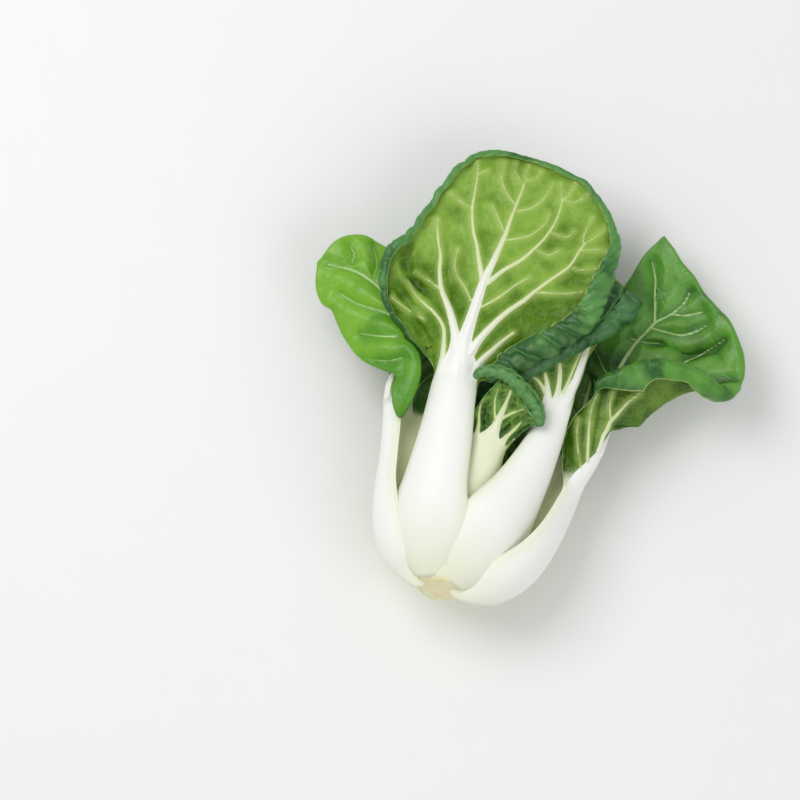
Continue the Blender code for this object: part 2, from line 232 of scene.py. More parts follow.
def leaf_frames(leaf):
    """The leaf's rows, each as its middle, its left and right margin and their halves' hang."""
    midrib = [row[0] for row in leaf["stalk"]] + [leaf["blade"][0][0]]
    frames = [
        stalk_frame(midrib[max(index - 1, 0)], midrib[index + 1], *row[:3])
        for index, row in enumerate(leaf["stalk"])
    ]
    for row in leaf["blade"]:
        hangs = list(row[3:]) + [(0, 0, 0)] * (5 - len(row))
        frames.append([np.array(part, dtype=float) for part in (*row[:3], *hangs)])
    return np.array(frames)


def leaf_rows(leaf):
    """Where the rows of points lie among the described rows."""
    first = len(leaf["stalk"]) - 1
    last = first + len(leaf["blade"])
    return np.concatenate([
        np.linspace(0, first, first * STALK_STEPS, endpoint=False),
        np.linspace(first, last, (last - first) * leaf["steps"] + 1),
    ])


def roll_plan(leaf, side, at):
    """The radius, the turn and the flap after it of the margin rolled on that side, in every row."""
    plan = np.array([(*row, 0.0)[:4] for row in leaf["rolls"][side]], dtype=float)
    radius, turn, flap = (np.interp(at, plan[:, 0], plan[:, part]) for part in (1, 2, 3))
    return radius, np.radians(turn), flap


def flat_part(leaf, at):
    """The leaf's points without its rolled margins, row by row from left to right."""
    frames = spline(leaf_frames(leaf), at)
    middle, left, right, left_hang, right_hang = (frames[:, None, part] for part in range(5))
    size, height = leaf["ragged"]
    on_blade = smoothstep(0.0, 1.5, at - len(leaf["stalk"]))
    for side, margin in (("left", left), ("right", right)):
        radius, turn, _ = roll_plan(leaf, side, at)
        inset = radius * np.sin(np.minimum(turn, math.pi / 2))
        inset -= height * on_blade * noise(margin[:, 0], size, leaf["seed"] + 5)
        margin -= unit(margin - middle) * inset[:, None, None]
    out = np.linspace(0.0, 1.0, leaf["columns"] + 1)[None, :, None]
    left_half = middle + out * (left - middle) + 4 * out * (1 - out) * left_hang
    right_half = middle + out * (right - middle) + 4 * out * (1 - out) * right_hang
    return np.concatenate([left_half[:, ::-1], right_half[:, 1:]], axis=1)


def normals_of(grid):
    """The outward direction at every point of a grid, whose last row's halves share theirs."""
    normals = unit(np.cross(np.gradient(grid, axis=1), np.gradient(grid, axis=0)))
    last = normals[-1]
    last = unit(last + last[::-1])
    centre = len(last) // 2
    last[centre] = last[centre - 1]
    normals[-1] = last
    return normals


def view_height(points):
    """How high the points are seen in the picture, in the head's own upright."""
    return points[..., 1] * math.sin(ELEVATION) + (points[..., 2] - CUT_HEIGHT) * math.cos(ELEVATION)


def seen_at(grid, side, across, height):
    """The point of the grid's given half that is seen nearest to that place."""
    centre = grid.shape[1] // 2
    half = {
        "left": grid[:, :centre + 1],
        "left margin": grid[:, :centre // 2],
        "right": grid[:, centre:],
        "both": grid,
    }[side]
    distance = (half[..., 0] - across) ** 2 + (view_height(half) - height) ** 2
    return half.reshape(-1, 3)[distance.argmin()]


def waves_and_folds(grid, leaf):
    """How far each point is lifted by large waves, strongest at the margin, and by folds."""
    out = np.abs(np.linspace(-1.0, 1.0, grid.shape[1]))[None]
    size, height = leaf["waves"]
    lift = noise(grid, size, leaf["seed"]) * out**2 * height
    lift += noise(grid, size / FINER_WAVES, leaf["seed"] + 1) * out * height * FINER_HEIGHT
    fading = np.sin(np.linspace(0.0, math.pi, FOLD_STEPS))[:, None] ** 0.7
    for depth, width, line in leaf["folds"]:
        knots = [seen_at(grid, "both", x, y) for x, y in line]
        bottom = np.concatenate([sampled(knots, FOLD_STEPS), fading], axis=1)
        distance, strength = distance_to_lines(grid, [bottom])
        lift -= depth * strength * np.exp(-(distance / width) ** 2)
    return lift


def rolled(grid, leaf, side, at):
    """The rolled margin's points, and where they would lie if it weren't rolled."""
    flip = side == "left"
    edge, inner = (grid[:, 0], grid[:, 1]) if flip else (grid[:, -1], grid[:, -2])
    along = unit(np.gradient(edge, axis=0))
    outward = edge - inner
    outward = unit(outward - (outward * along).sum(axis=1, keepdims=True) * along)
    outward[-1] = unit(edge[-1] - grid[-1, grid.shape[1] // 2])
    for _ in range(4):
        outward[1:-1] = unit(outward[:-2] + 2 * outward[1:-1] + outward[2:])
    facing = unit(np.cross(along, outward) if flip else np.cross(outward, along))
    facing[-1] = facing[-2]
    radius, turn, flap = roll_plan(leaf, side, at)
    length = radius * turn + flap
    share = np.linspace(0.0, 1.0, ROLL_COLUMNS + 1)
    place, reach = edge, edge
    points, spread = [], []
    for low, high in zip(share, share[1:]):
        turned = np.minimum((low + high) / 2 * length / (radius * turn), 1.0)
        angle = (turn * turned)[:, None]
        step = (length * (high - low) * (1 - ROLL_TIGHTENING * turned))[:, None]
        place = place + step * (np.cos(angle) * outward + leaf["roll_height"] * np.sin(angle) * facing)
        reach = reach + step * outward
        points.append(place)
        spread.append(reach)
    order = slice(None, None, -1) if flip else slice(None)
    return np.stack(points[order], axis=1), np.stack(spread[order], axis=1)


# ---------------------------------------------------------------- veins

def grid_at(grid, at, row, out):
    """The grid's point at a described row and at a share of the way to a margin, -1 to 1."""
    place = np.abs(at - row).argmin()
    column = (out + 1) / 2 * (grid.shape[1] - 1)
    return grid[place, int(round(column))]


def ribs_on_rows(count, reach, first, width):
    """Veins that leave the midrib in pairs, as (row, share of the way out, half width) triples."""
    veins = []
    for index in range(count):
        start = first + index * reach / count
        thin = width * (1 - 0.6 * index / count)
        for way in (-1, 1):
            veins.append([
                (start + way * 0.12, 0.0, thin),
                (start + 0.55, way * 0.35, thin * 0.7),
                (start + 1.0, way * 0.65, thin * 0.5),
                (start + 1.3, way * 0.92, thin * 0.35),
            ])
    return veins


def vein_lines(grid, leaf, at):
    """Every vein as closely spaced places on the grid, each with the vein's half width there."""
    lines = []
    for vein in leaf["row_veins"]:
        lines.append([(*grid_at(grid, at, row, out), width) for row, out, width in vein])
    for side, veins in leaf["seen_veins"].items():
        for vein in veins:
            lines.append([(*seen_at(grid, side, x, y), width) for x, y, width in vein])
    return [curve(np.array(line), VEIN_STEP) for line in lines]


def distance_to_lines(points, lines):
    """How far each point is from the nearest line, and that line's half width there."""
    starts = np.concatenate([line[:-1] for line in lines])
    ends = np.concatenate([line[1:] for line in lines])
    tree = tree_of((starts + ends)[:, :3] / 2)
    flat = points.reshape(-1, 3)
    nearest = np.array([[found[1] for found in tree.find_n(point, 3)] for point in flat])
    start, end = starts[nearest], ends[nearest]
    way = (end - start)[..., :3]
    share = ((flat[:, None] - start[..., :3]) * way).sum(axis=-1) / np.maximum((way**2).sum(axis=-1), 1e-9)
    close = start + np.clip(share, 0, 1)[..., None] * (end - start)
    distance = np.linalg.norm(flat[:, None] - close[..., :3], axis=-1)
    best = (distance - close[..., 3]).argmin(axis=1)[:, None]
    return [
        np.take_along_axis(each, best, 1).reshape(points.shape[:-1])
        for each in (distance, close[..., 3])
    ]


def nearest_vein(points, lines):
    """How far each point is from the nearest vein, and the vein's half width there.

    The midrib is the first line.  It is so broad that it is tried apart from the others.
    """
    distance, width = distance_to_lines(points, lines[:1])
    side_distance, side_width = distance_to_lines(points, lines[1:])
    nearer = side_distance - side_width < distance - width
    return np.where(nearer, side_distance, distance), np.where(nearer, side_width, width)


def cross_veins(flat, sheet, rolled_share, seed):
    """Distance from the veins that cross a rolled margin, and the swelling between them, 0 to 1."""
    across = run_along(sheet, 1)
    middle = sheet.shape[1] // 2
    across = np.abs(across - across[:, middle:middle + 1])
    place = run_along(flat, 0) - CROSS_SLANT * across + CROSS_WANDER * noise(flat, 9.0, seed)
    distance = np.abs(place % CROSS_SPACING - CROSS_SPACING / 2)
    on_roll = smoothstep(0.02, 0.25, rolled_share)
    swelling = (1 - np.exp(-(distance / CROSS_GROOVE) ** 2)) * on_roll
    return distance + FAR * (1 - on_roll), swelling


# ---------------------------------------------------------------- a whole leaf

def hollows(height):
    """How far a height at every point of a grid lies below its surroundings, over HOLLOW_DEPTH."""
    window = np.ones(2 * HOLLOW_REACH + 1) / (2 * HOLLOW_REACH + 1)
    around = np.pad(height, HOLLOW_REACH, mode="edge")
    for axis in (0, 1):
        around = np.apply_along_axis(np.convolve, axis, around, window, mode="valid")
    return np.clip((around - height) / HOLLOW_DEPTH, *HOLLOW_LIMITS)


def cushions(leaf, at, flat, rolled_share, beside, cross_swell):
    """How far the blade swells between its veins, and the distance from the cushions' borders."""
    seed = leaf["seed"]
    size, height, edge_height, panel = leaf["cushions"]
    border = cells(flat + 0.6 * noise(flat, 3.0, seed + 2)[..., None], size, seed + 3)
    columns = flat.shape[1]
    radii = [roll_plan(leaf, side, at)[0][:, None] for side in ("left", "right")]
    plump = np.minimum(np.where(np.arange(columns) < columns // 2, *radii) / PLUMP_RADIUS, 1.0)
    plump = 1 + (plump - 1) * smoothstep(0.0, 0.1, rolled_share)
    tall = height + (0.5 * edge_height - height) * smoothstep(0.0, 0.3, rolled_share)
    swell = tall * plump * smoothstep(0.0, CUSHION_RIM, border) * smoothstep(0.0, CUSHION_REACH, beside)
    swell = swell + panel * smoothstep(0.0, PANEL_REACH, beside) * (1 - rolled_share)
    swell = swell + edge_height * plump * cross_swell
    lumps = leaf["crumple"] * noise(flat, LUMP_SIZE, seed + 6) * smoothstep(0.0, LUMP_REACH, beside)
    return swell + lumps, border * size


def half_thicknesses(leaf, at, out, rolled_share, blade, rib):
    """How far the outer and the inner side stand off the middle of the leaf's thickness."""
    profile = np.maximum(1 - out**2, 0.0) ** 0.6
    described = [row[3] for row in leaf["stalk"]] + [BASE_THICKNESS]
    thick = spline(described, np.minimum(at, len(leaf["stalk"])))[:, None]
    stalk_half = (STALK_EDGE + (thick - STALK_EDGE) * profile) / 2
    taper = 1 - ROLL_THINNING * rolled_share
    return [
        ((stalk_half * (1 - blade) + (LAMINA / 2 + rib * share) * blade) * taper)[..., None]
        for share in (1, leaf["back_rib"])
    ]


def leaf_surface(leaf):
    """Everything that the leaf's mesh needs, as arrays over its grid of points."""
    at = leaf_rows(leaf)
    past_stalk = at - len(leaf["stalk"])
    blade = smoothstep(*BLADE_START, past_stalk)[:, None]
    grid = flat_part(leaf, at)
    lift = waves_and_folds(grid, leaf)
    grid = grid + normals_of(grid) * (lift * blade)[..., None]
    left, left_flat = rolled(grid, leaf, "left", at)
    right, right_flat = rolled(grid, leaf, "right", at)
    sheet = np.concatenate([left, grid, right], axis=1)
    flat = np.concatenate([left_flat, grid, right_flat], axis=1)
    shape = sheet.shape[:2]
    out = np.abs(np.arange(shape[1]) - shape[1] // 2)[None] / leaf["columns"]
    rolled_share = np.clip((out - 1) * leaf["columns"] / ROLL_COLUMNS, 0, 1)
    out = np.minimum(out, 1.0)

    # the sheet swells inward between its veins
    distance, width = nearest_vein(flat, vein_lines(grid, leaf, at))
    beside = distance - width
    cross, cross_swell = cross_veins(flat, sheet, rolled_share, leaf["seed"] + 4)
    swell, border = cushions(leaf, at, flat, rolled_share, beside, cross_swell)
    lift = np.pad(lift, ((0, 0), (ROLL_COLUMNS, ROLL_COLUMNS)))
    # how far each point lies in a hollow or stands on a ridge; the material paints shade in the hollows and
    # light on the ridges
    hollow = hollows((lift - swell) * blade)
    sheet = sheet - normals_of(sheet) * (swell * blade)[..., None]
    facing = normals_of(sheet)

    # the two sides, and what their material needs
    rib = np.minimum(RIB_HEIGHT * width, TALLEST_RIB) * (1 - smoothstep(0.2, 1.1, distance / width))
    front, back = half_thicknesses(leaf, at, out, rolled_share, blade, rib)
    stalk = 1 - smoothstep(*leaf["greening"], past_stalk)[:, None]
    broad_rib = smoothstep(1.2, 4.0, width) * (1 - smoothstep(-0.5, 0.3, beside))
    return {
        "outer": sheet + facing * front,
        "inner": sheet - facing * back,
        "flat": flat,
        "vein": np.clip(np.hypot(distance, VEIN_ROUNDING) - width, -FAR, FAR),
        "broad": smoothstep(0.4, 2.2, width) * (1 - smoothstep(0.0, 0.2, rolled_share)),
        "net": np.minimum(np.minimum(border + 9 * rolled_share, cross), FAR),
        "hollow": hollow,
        "stalk": np.maximum(stalk, broad_rib),
        "edge": np.broadcast_to(out + rolled_share, shape),
        "along": np.broadcast_to((at / at[-1])[:, None], shape),
    }


def curl_surface(curl, seed):
    """A margin curled up into a tube, whose upper side is outside."""
    path = np.array(curl["path"], dtype=float)
    path[:, 1] = (path[:, 1] - (path[:, 2] - CUT_HEIGHT) * math.cos(ELEVATION)) / math.sin(ELEVATION)
    line = curve(path, CURL_STEP)
    centre, radius = line[:, :3], np.maximum(line[:, 3:], 0.4)
    along = unit(np.gradient(centre, axis=0))
    across = unit(np.cross(along, (0.0, 0.0, 1.0)))
    above = np.cross(along, across)
    share = np.linspace(0.0, 1.0, CURL_COLUMNS)
    angle = np.radians(curl["start"] - share * curl["turn"])[None, :, None]
    run = run_along(centre, 0)[:, None]
    arc = radius * math.radians(curl["turn"]) * share
    flat = np.stack(np.broadcast_arrays(arc, run, 0.0), axis=-1)

    # its veins and the cushions between them
    place = run - 0.3 * arc + 2.2 * noise(flat, 7.0, seed)
    spacing = CURL_SPACING * radius.mean()
    distance = np.abs(place % spacing - spacing / 2)
    border = cells(flat, spacing, seed + 1)
    swell = CURL_SWELL * (1 - np.exp(-(distance / spacing * 4) ** 2))
    swell = swell + CURL_CUSHION * smoothstep(0.0, CUSHION_RIM, border)
    swell = (swell + CURL_LUMP * noise(flat, 6.0, seed + 2)) * radius
    tight = 1 - curl["tighten"] * share - 0.15 * smoothstep(0.9, 1.0, share) * noise(flat, 3.0, seed + 3)
    reach = (radius * tight + swell)[..., None]
    sheet = centre[:, None] + reach * (np.cos(angle) * across[:, None] + np.sin(angle) * above[:, None])
    facing = normals_of(sheet)
    blank = np.zeros(distance.shape)
    return {
        "outer": sheet + facing * LAMINA / 2,
        "inner": sheet - facing * LAMINA / 2,
        "flat": flat,
        "vein": blank + FAR,
        "broad": blank,
        "net": np.minimum(distance, FAR),
        # hollows and ridges of the curl's swelling, which the material paints as shade and light
        "hollow": -hollows(swell).clip(-1.0, 1.0),
        "stalk": blank,
        "edge": 1 + share + blank,
        "along": blank + 1,
        "open": True,
    }


# ---------------------------------------------------------------- meshes

def smooth_mesh(name, points, faces, flat, values):
    """A mesh that stores each point's place on the leaf laid flat, and values for its material."""
    mesh = bpy.data.meshes.new(name)
    mesh.from_pydata(points, [], faces)
    for key, value in values.items():
        stored = mesh.attributes.new(key, "FLOAT", "POINT")
        stored.data.foreach_set("value", np.ravel(value).astype(np.float32))
    stored = mesh.attributes.new("flat", "FLOAT_VECTOR", "POINT")
    stored.data.foreach_set("vector", np.ravel(flat).astype(np.float32))
    mesh.shade_smooth()
    return mesh


def sheet_faces(rows, columns, is_open):
    """The faces of one closed skin over a sheet's two sides, and how many points each side keeps.

    The last row of a sheet that isn't open folds together on the midrib's end.
    """
    centre = columns // 2
    numbers = np.arange(rows * columns).reshape(rows, columns)
    kept = rows * columns
    if not is_open:
        numbers[-1, centre + 1:] = numbers[-1, :centre][::-1]
        kept -= centre
    outer, inner = numbers, numbers + kept
    quads = []
    for layer, turned in ((outer, False), (inner, True)):
        a, b, c, d = layer[:-1, :-1], layer[:-1, 1:], layer[1:, 1:], layer[1:, :-1]
        loop = (d, c, b, a) if turned else (a, b, c, d)
        quads.append(np.stack(loop, axis=-1).reshape(-1, 4))
    for column, turned in ((0, False), (-1, True)):
        a, b = outer[:-1, column], outer[1:, column]
        c, d = inner[1:, column], inner[:-1, column]
        loop = (d, c, b, a) if turned else (a, b, c, d)
        quads.append(np.stack(loop, axis=-1))
    quads.append(np.stack((outer[0, :-1], inner[0, :-1], inner[0, 1:], outer[0, 1:]), axis=-1))
    if is_open:
        quads.append(np.stack((outer[-1, 1:], inner[-1, 1:], inner[-1, :-1], outer[-1, :-1]), axis=-1))
    return np.concatenate(quads), kept


def leaf_mesh(name, surfaces):
    """One mesh from the leaf's surfaces."""
    points, faces, flats, inside = [], [], [], []
    values = {key: [] for key in SHADED_BY}
    for surface in surfaces:
        quads, kept = sheet_faces(*surface["edge"].shape, "open" in surface)
        faces.append(quads + sum(len(part) for part in points))
        points += [surface[side].reshape(-1, 3)[:kept] for side in ("outer", "inner")]
        flats += [surface["flat"].reshape(-1, 3)[:kept]] * 2
        inside += [np.zeros(kept), np.ones(kept)]
        for key, parts in values.items():
            parts += [surface[key].reshape(-1)[:kept]] * 2
    whole = {key: np.concatenate(parts) for key, parts in values.items()}
    whole["inside"] = np.concatenate(inside)
    points = np.concatenate(points) * MM + HEAD_ORIGIN
    return smooth_mesh(name, points, np.concatenate(faces), np.concatenate(flats), whole)


def around_axis(radius, along, angle):
    """Points at a radius and an angle around the y axis, at places along it."""
    sides = (radius * np.sin(angle), along, radius * np.cos(angle))
    return np.stack(np.broadcast_arrays(*sides), axis=-1)


def ring_faces(rows, columns):
    """The faces of a closed skin whose rows are rings of points."""
    numbers = np.arange(rows * columns).reshape(rows, columns)
    after = np.roll(numbers, -1, axis=1)
    quads = np.stack([numbers[:-1], after[:-1], after[1:], numbers[1:]], axis=-1).reshape(-1, 4)
    return [*quads.tolist(), numbers[0][::-1].tolist(), numbers[-1].tolist()]


# ---------------------------------------------------------------- materials

def colour(red, green, blue):
    """A colour from its three display values, 0 to 255."""
    linear = [((part / 255 + 0.055) / 1.055) ** 2.4 for part in (red, green, blue)]
    return (*linear, 1.0)


class Shader:
    """A node material, built by adding nodes.

    An input is a number, three display values, a whole colour or another node's output.
    """

    def __init__(self, name):
        self.material = bpy.data.materials.new(name)
        self.material.use_nodes = True
        self.tree = self.material.node_tree
        self.surface = self.tree.nodes["Principled BSDF"]

    def add(self, kind, inputs=None, **settings):
        """A new node, with its inputs given by name or number."""
        made = self.tree.nodes.new("ShaderNode" + kind)
        for key, value in settings.items():
            setattr(made, key, value)
        for key, value in (inputs or {}).items():
            self.put(made.inputs[key], value)
        return made

    def put(self, socket, value):
        """Set an input to a constant, or link it to an output."""
        if isinstance(value, bpy.types.NodeSocket):
            self.tree.links.new(value, socket)
        elif isinstance(value, tuple) and len(value) == 3:
            socket.default_value = colour(*value)
        else:
            socket.default_value = value

    def set(self, name, value):
        """Set one of the surface's own inputs."""
        self.put(self.surface.inputs[name], value)

    def attribute(self, name):
        """A value stored on the mesh."""
        return self.add("Attribute", attribute_name=name).outputs["Fac"]

    def flat_place(self):
        """The point's place on the leaf laid flat."""
        return self.add("Attribute", attribute_name="flat").outputs["Vector"]

    def ramp(self, value, low, high, start=0.0, end=1.0):
        """A smooth change from start to end while the value goes from low to high."""
        inputs = {"Value": value, "From Min": low, "From Max": high, "To Min": start, "To Max": end}
        return self.add("MapRange", inputs, interpolation_type="SMOOTHSTEP").outputs["Result"]

    def mix(self, share, first, second):
        """A colour between two."""
        return self.add("Mix", {0: share, 6: first, 7: second}, data_type="RGBA").outputs[2]

    def math(self, operation, first, second):
        """The sum or the product of two values."""
        return self.add("Math", {0: first, 1: second}, operation=operation).outputs[0]

    def noise(self, place, size, detail=2.0):
        """Noise whose lumps are about the given size, in millimetres."""
        inputs = {"Vector": place, "Scale": 1.0 / size, "Detail": detail}
        return self.add("TexNoise", inputs).outputs["Fac"]

    def bump(self, strength, depth, height):
        """Make the surface uneven by a height."""
        inputs = {"Strength": strength, "Distance": depth, "Height": height}
        self.set("Normal", self.add("Bump", inputs).outputs["Normal"])


def blade_green(made, place, patch, under, upper, painted_shade, light):
    """The green between the veins, with painted shade in hollows and painted light on ridges."""
    inside = made.attribute("inside")
    toward_tip = made.ramp(made.attribute("along"), 0.5, 0.9, -0.16, 0.16)
    lit = made.ramp(made.math("ADD", made.noise(place, patch), toward_tip), 0.3, 0.7)
    green = made.mix(inside, made.mix(lit, *under), made.mix(lit, *upper))
    flipped = made.ramp(inside, 0.0, 1.0, 1.0, -1.0)
    hollow = made.math("MULTIPLY", made.attribute("hollow"), flipped)
    # painted shade: the deeper the hollow, the more its green turns to the shade green
    green = made.mix(made.ramp(hollow, 0.25, 3.0, 0.0, 0.85), green, painted_shade)
    # painted light: ridges turn towards the pale vein green
    return made.mix(made.ramp(hollow, 0.0, -1.0, 0.0, 0.12), green, light)


def veined(made, green, fine, mesh, painted_shade, vein):
    """The green with its veins: hairs, a net, a band beside the large veins, paler on the under side and
    painted shade on the upper one, and those veins.
    """
    inside = made.attribute("inside")
    edge = made.attribute("edge")
    fine_vein = made.mix(inside, vein[0], vein[1])
    green = made.mix(made.ramp(mesh, 0.0, 0.09, 0.1, 0.0), green, fine_vein)
    crossed = made.ramp(edge, 0.95, 1.1, 0.1, 0.36)
    net = made.math("MULTIPLY", made.ramp(made.attribute("net"), 0.05, 0.9, 1.0, 0.0), crossed)
    green = made.mix(net, green, fine_vein)
    # painted shade beside the large veins on the upper side; on the under side the band is paler
    beside = made.ramp(made.attribute("vein"), 0.0, 2.0, 0.28, 0.0)
    green = made.mix(beside, green, made.mix(inside, vein[0], painted_shade))
    thin = made.mix(inside, vein[2], vein[3])
    ragged = made.math("ADD", made.attribute("vein"), made.ramp(fine, 0.3, 0.7, -0.05, 0.05))
    rib = made.ramp(ragged, -0.3, 0.18, 1.0, 0.0)
    green = made.mix(rib, green, made.mix(made.attribute("broad"), thin, vein[4]))
    pale_teeth = made.ramp(edge, 1.93, 1.98, 0.0, 0.7)
    return made.mix(pale_teeth, green, vein[0])


def leaf_material(name, patch, under, upper, painted_shade, vein, stalk):
    """A leaf: green between pale veins, another green on its upper side, and a pale stalk."""
    made = Shader(name)
    place = made.flat_place()
    fine = made.noise(place, 2.2, 4.0)
    drift = made.add("TexNoise", {"Vector": place, "Scale": 0.4}).outputs["Color"]
    bent = made.add("VectorMath", {0: place, 1: drift}, operation="ADD").outputs[0]
    cracks = made.add("TexVoronoi", {"Vector": bent, "Scale": 0.42}, feature="DISTANCE_TO_EDGE")
    mesh = cracks.outputs["Distance"]
    green = blade_green(made, place, patch, under, upper, painted_shade, vein[0])
    green = veined(made, green, fine, mesh, painted_shade, vein)

    # the stalk, greener at its margins and its foot
    on_stalk = made.attribute("stalk")
    white = made.mix(made.ramp(made.attribute("edge"), 0.6, 1.05), stalk[0], stalk[1])
    white = made.mix(made.ramp(made.attribute("along"), 0.0, 0.2, 0.85, 0.0), white, stalk[2])
    uneven = made.math("ADD", on_stalk, made.ramp(fine, 0.2, 0.8, -0.1, 0.1))
    made.set("Base Color", made.mix(made.ramp(uneven, 0.15, 0.85), green, white))
    made.set("Specular IOR Level", made.ramp(made.attribute("inside"), 0.0, 1.0, 0.25, 0.5))
    made.set("Roughness", made.ramp(fine, 0.2, 0.8, 0.32, 0.48))
    made.bump(made.ramp(on_stalk, 0.0, 1.0, 0.45, 0.05), 0.0005, mesh)
    return made.material


def stem_material():
    """The cut butt, tan with brown specks, and the pale leaf bases grown together around it."""
    made = Shader("stem")
    place = made.flat_place()
    tan = made.mix(made.ramp(made.noise(place, 6.0), 0.35, 0.65), (238, 226, 174), (243, 236, 200))
    specks = made.ramp(made.noise(place, 0.9, 3.0), 0.66, 0.76, 0.0, 0.3)
    tan = made.mix(specks, tan, (150, 112, 58))
    base = made.mix(made.noise(place, 4.0), (228, 232, 196), (240, 241, 220))
    made.set("Base Color", made.mix(made.ramp(made.attribute("edge"), 0.95, 1.06), tan, base))
    made.set("Roughness", made.ramp(made.noise(place, 1.2, 3.0), 0.2, 0.8, 0.5, 0.75))
    made.bump(0.3, 0.0003, made.noise(place, 0.8, 4.0))
    return made.material


def floor_material():
    """A matte pale surface with a faint grain."""
    made = Shader("floor")
    place = made.add("TexCoord").outputs["Object"]
    grain = made.add("TexNoise", {"Vector": place, "Scale": 40.0, "Detail": 3.0}).outputs["Fac"]
    light, dark = ((grey, grey, grey, 1.0) for grey in (FLOOR_GREY, FLOOR_GREY * 0.985))
    made.set("Base Color", made.mix(grain, light, dark))
    made.set("Roughness", 0.9)
    return made.material


# ---------------------------------------------------------------- the leaves' colours

# Greens: the size of the patches, their shaded and lit greens on the under side and on the upper one,
# and the painted shade of hollows and of grooves beside large veins.  Then come the veins: the finest on
# either side, the thin ones on either side and the broad ones; the finest under-side one is also painted
# on ridges as painted light.  Last is the stalk: its middle, its margins and its foot.
VEINS = ((178, 200, 112), (104, 152, 70), (212, 224, 160), (176, 212, 124), (247, 248, 238))
WHITE = ((249, 250, 245), (238, 242, 220), (233, 236, 208))
PALE_GREEN = ((248, 253, 206), (236, 250, 176), (246, 252, 206))
PALE = (14, ((82, 126, 8), (138, 178, 66)), ((20, 84, 26), (82, 144, 66)), (34, 74, 8), VEINS, WHITE)
DARK = (10, ((64, 106, 22), (112, 152, 56)), ((14, 58, 20), (56, 112, 60)), (8, 32, 8), VEINS, WHITE)
BRIGHT = (14, ((84, 128, 20), (128, 168, 50)), ((72, 142, 2), (118, 177, 34)), (48, 104, 4), VEINS, WHITE)
DEEP = (14, ((62, 100, 16), (112, 150, 52)), ((24, 88, 14), (92, 156, 50)), (8, 40, 8), VEINS, WHITE)
BACK = (16, ((76, 120, 30), (116, 158, 58)), ((58, 112, 36), (114, 166, 78)), (10, 44, 8), VEINS, PALE_GREEN)
HEART = (
    4, ((26, 66, 14), (112, 150, 66)), ((26, 86, 32), (92, 146, 78)), (4, 24, 4),
    ((100, 138, 62), (70, 120, 60), (206, 220, 148), (138, 184, 88), (240, 243, 216)),
    ((238, 241, 210), (208, 222, 154), (226, 230, 196)),
)


# ---------------------------------------------------------------- the leaves

def both_margins(*plan):
    """The same roll on both margins."""
    return {"left": plan, "right": plan}


# A leaf's entries, in millimetres and degrees.  "As seen" means in the picture, in the head's upright.
#   stalk        rows of (x, y, z), the way the round side faces from straight up towards +x, the
#                half width and the thickness
#   blade        rows of the midrib's, the left margin's and the right margin's point, which may end
#                in how far the middle of each half hangs off a straight line
#   rolls        (row, radius, turn), and the flap that goes straight on after the turn if there is one
#   roll_height  how tall a roll is for its width
#   curls        margins curled into tubes: (x, height as seen, z, radius) rows, the angle at which
#                the margin starts, its turn, and how much of its radius it loses
#   folds        (depth, half width, line as seen); a depth below 0 is a dent in the upper side
#   row_veins    (row, share of the way to the margin, half width) triples
#   seen_veins   (x, height as seen, half width) triples, by the part of the leaf that carries them
#   waves        the size and height of large waves, and ragged the same of the margin's unevenness
#   cushions     size, height, height on a rolled margin, and the swell between large veins
#   crumple      the height of small lumps
#   back_rib     how far veins stand out of the upper side, over how far they do on the under side
#   greening     rows from the blade's first one, between which the stalk turns green
#   columns      columns of faces in each half, and steps the rows of faces from blade row to blade row
PLAIN_LEAF = dict(
    greening=(-1, 0), roll_height=0.8, back_rib=-0.12, curls=[], folds=[], row_veins=[], seen_veins={},
)
BACK_LEAF = dict(
    PLAIN_LEAF, slot="dark_leaf", greens=BACK, columns=30, steps=12, waves=(14, 1.6),
    cushions=(6.5, 0.8, 0.4, 0.8), crumple=0.4, ragged=(8, 1.2),
    rolls=both_margins((0, 0.5, 50), (10, 0.7, 80)),
    row_veins=[[(4, 0, 3), (5, 0, 1.4), (7, 0, 0.8), (10, 0, 0.35)]] + ribs_on_rows(5, 3.6, 5.2, 0.7),
)
HEART_LEAF = dict(
    PLAIN_LEAF, slot="heart_leaf", greens=HEART, columns=18, steps=14, waves=(7, 1),
    cushions=(4.5, 0.7, 0.4, 0.4), crumple=0.4, ragged=(6, 0.6),
    rolls=both_margins((0, 0.4, 50), (7, 0.5, 80)),
    row_veins=[[(3, 0, 4), (4, 0, 1.8), (5, 0, 1), (7, 0, 0.35)]] + ribs_on_rows(4, 2.2, 4, 0.6),
)
LEAVES = {}

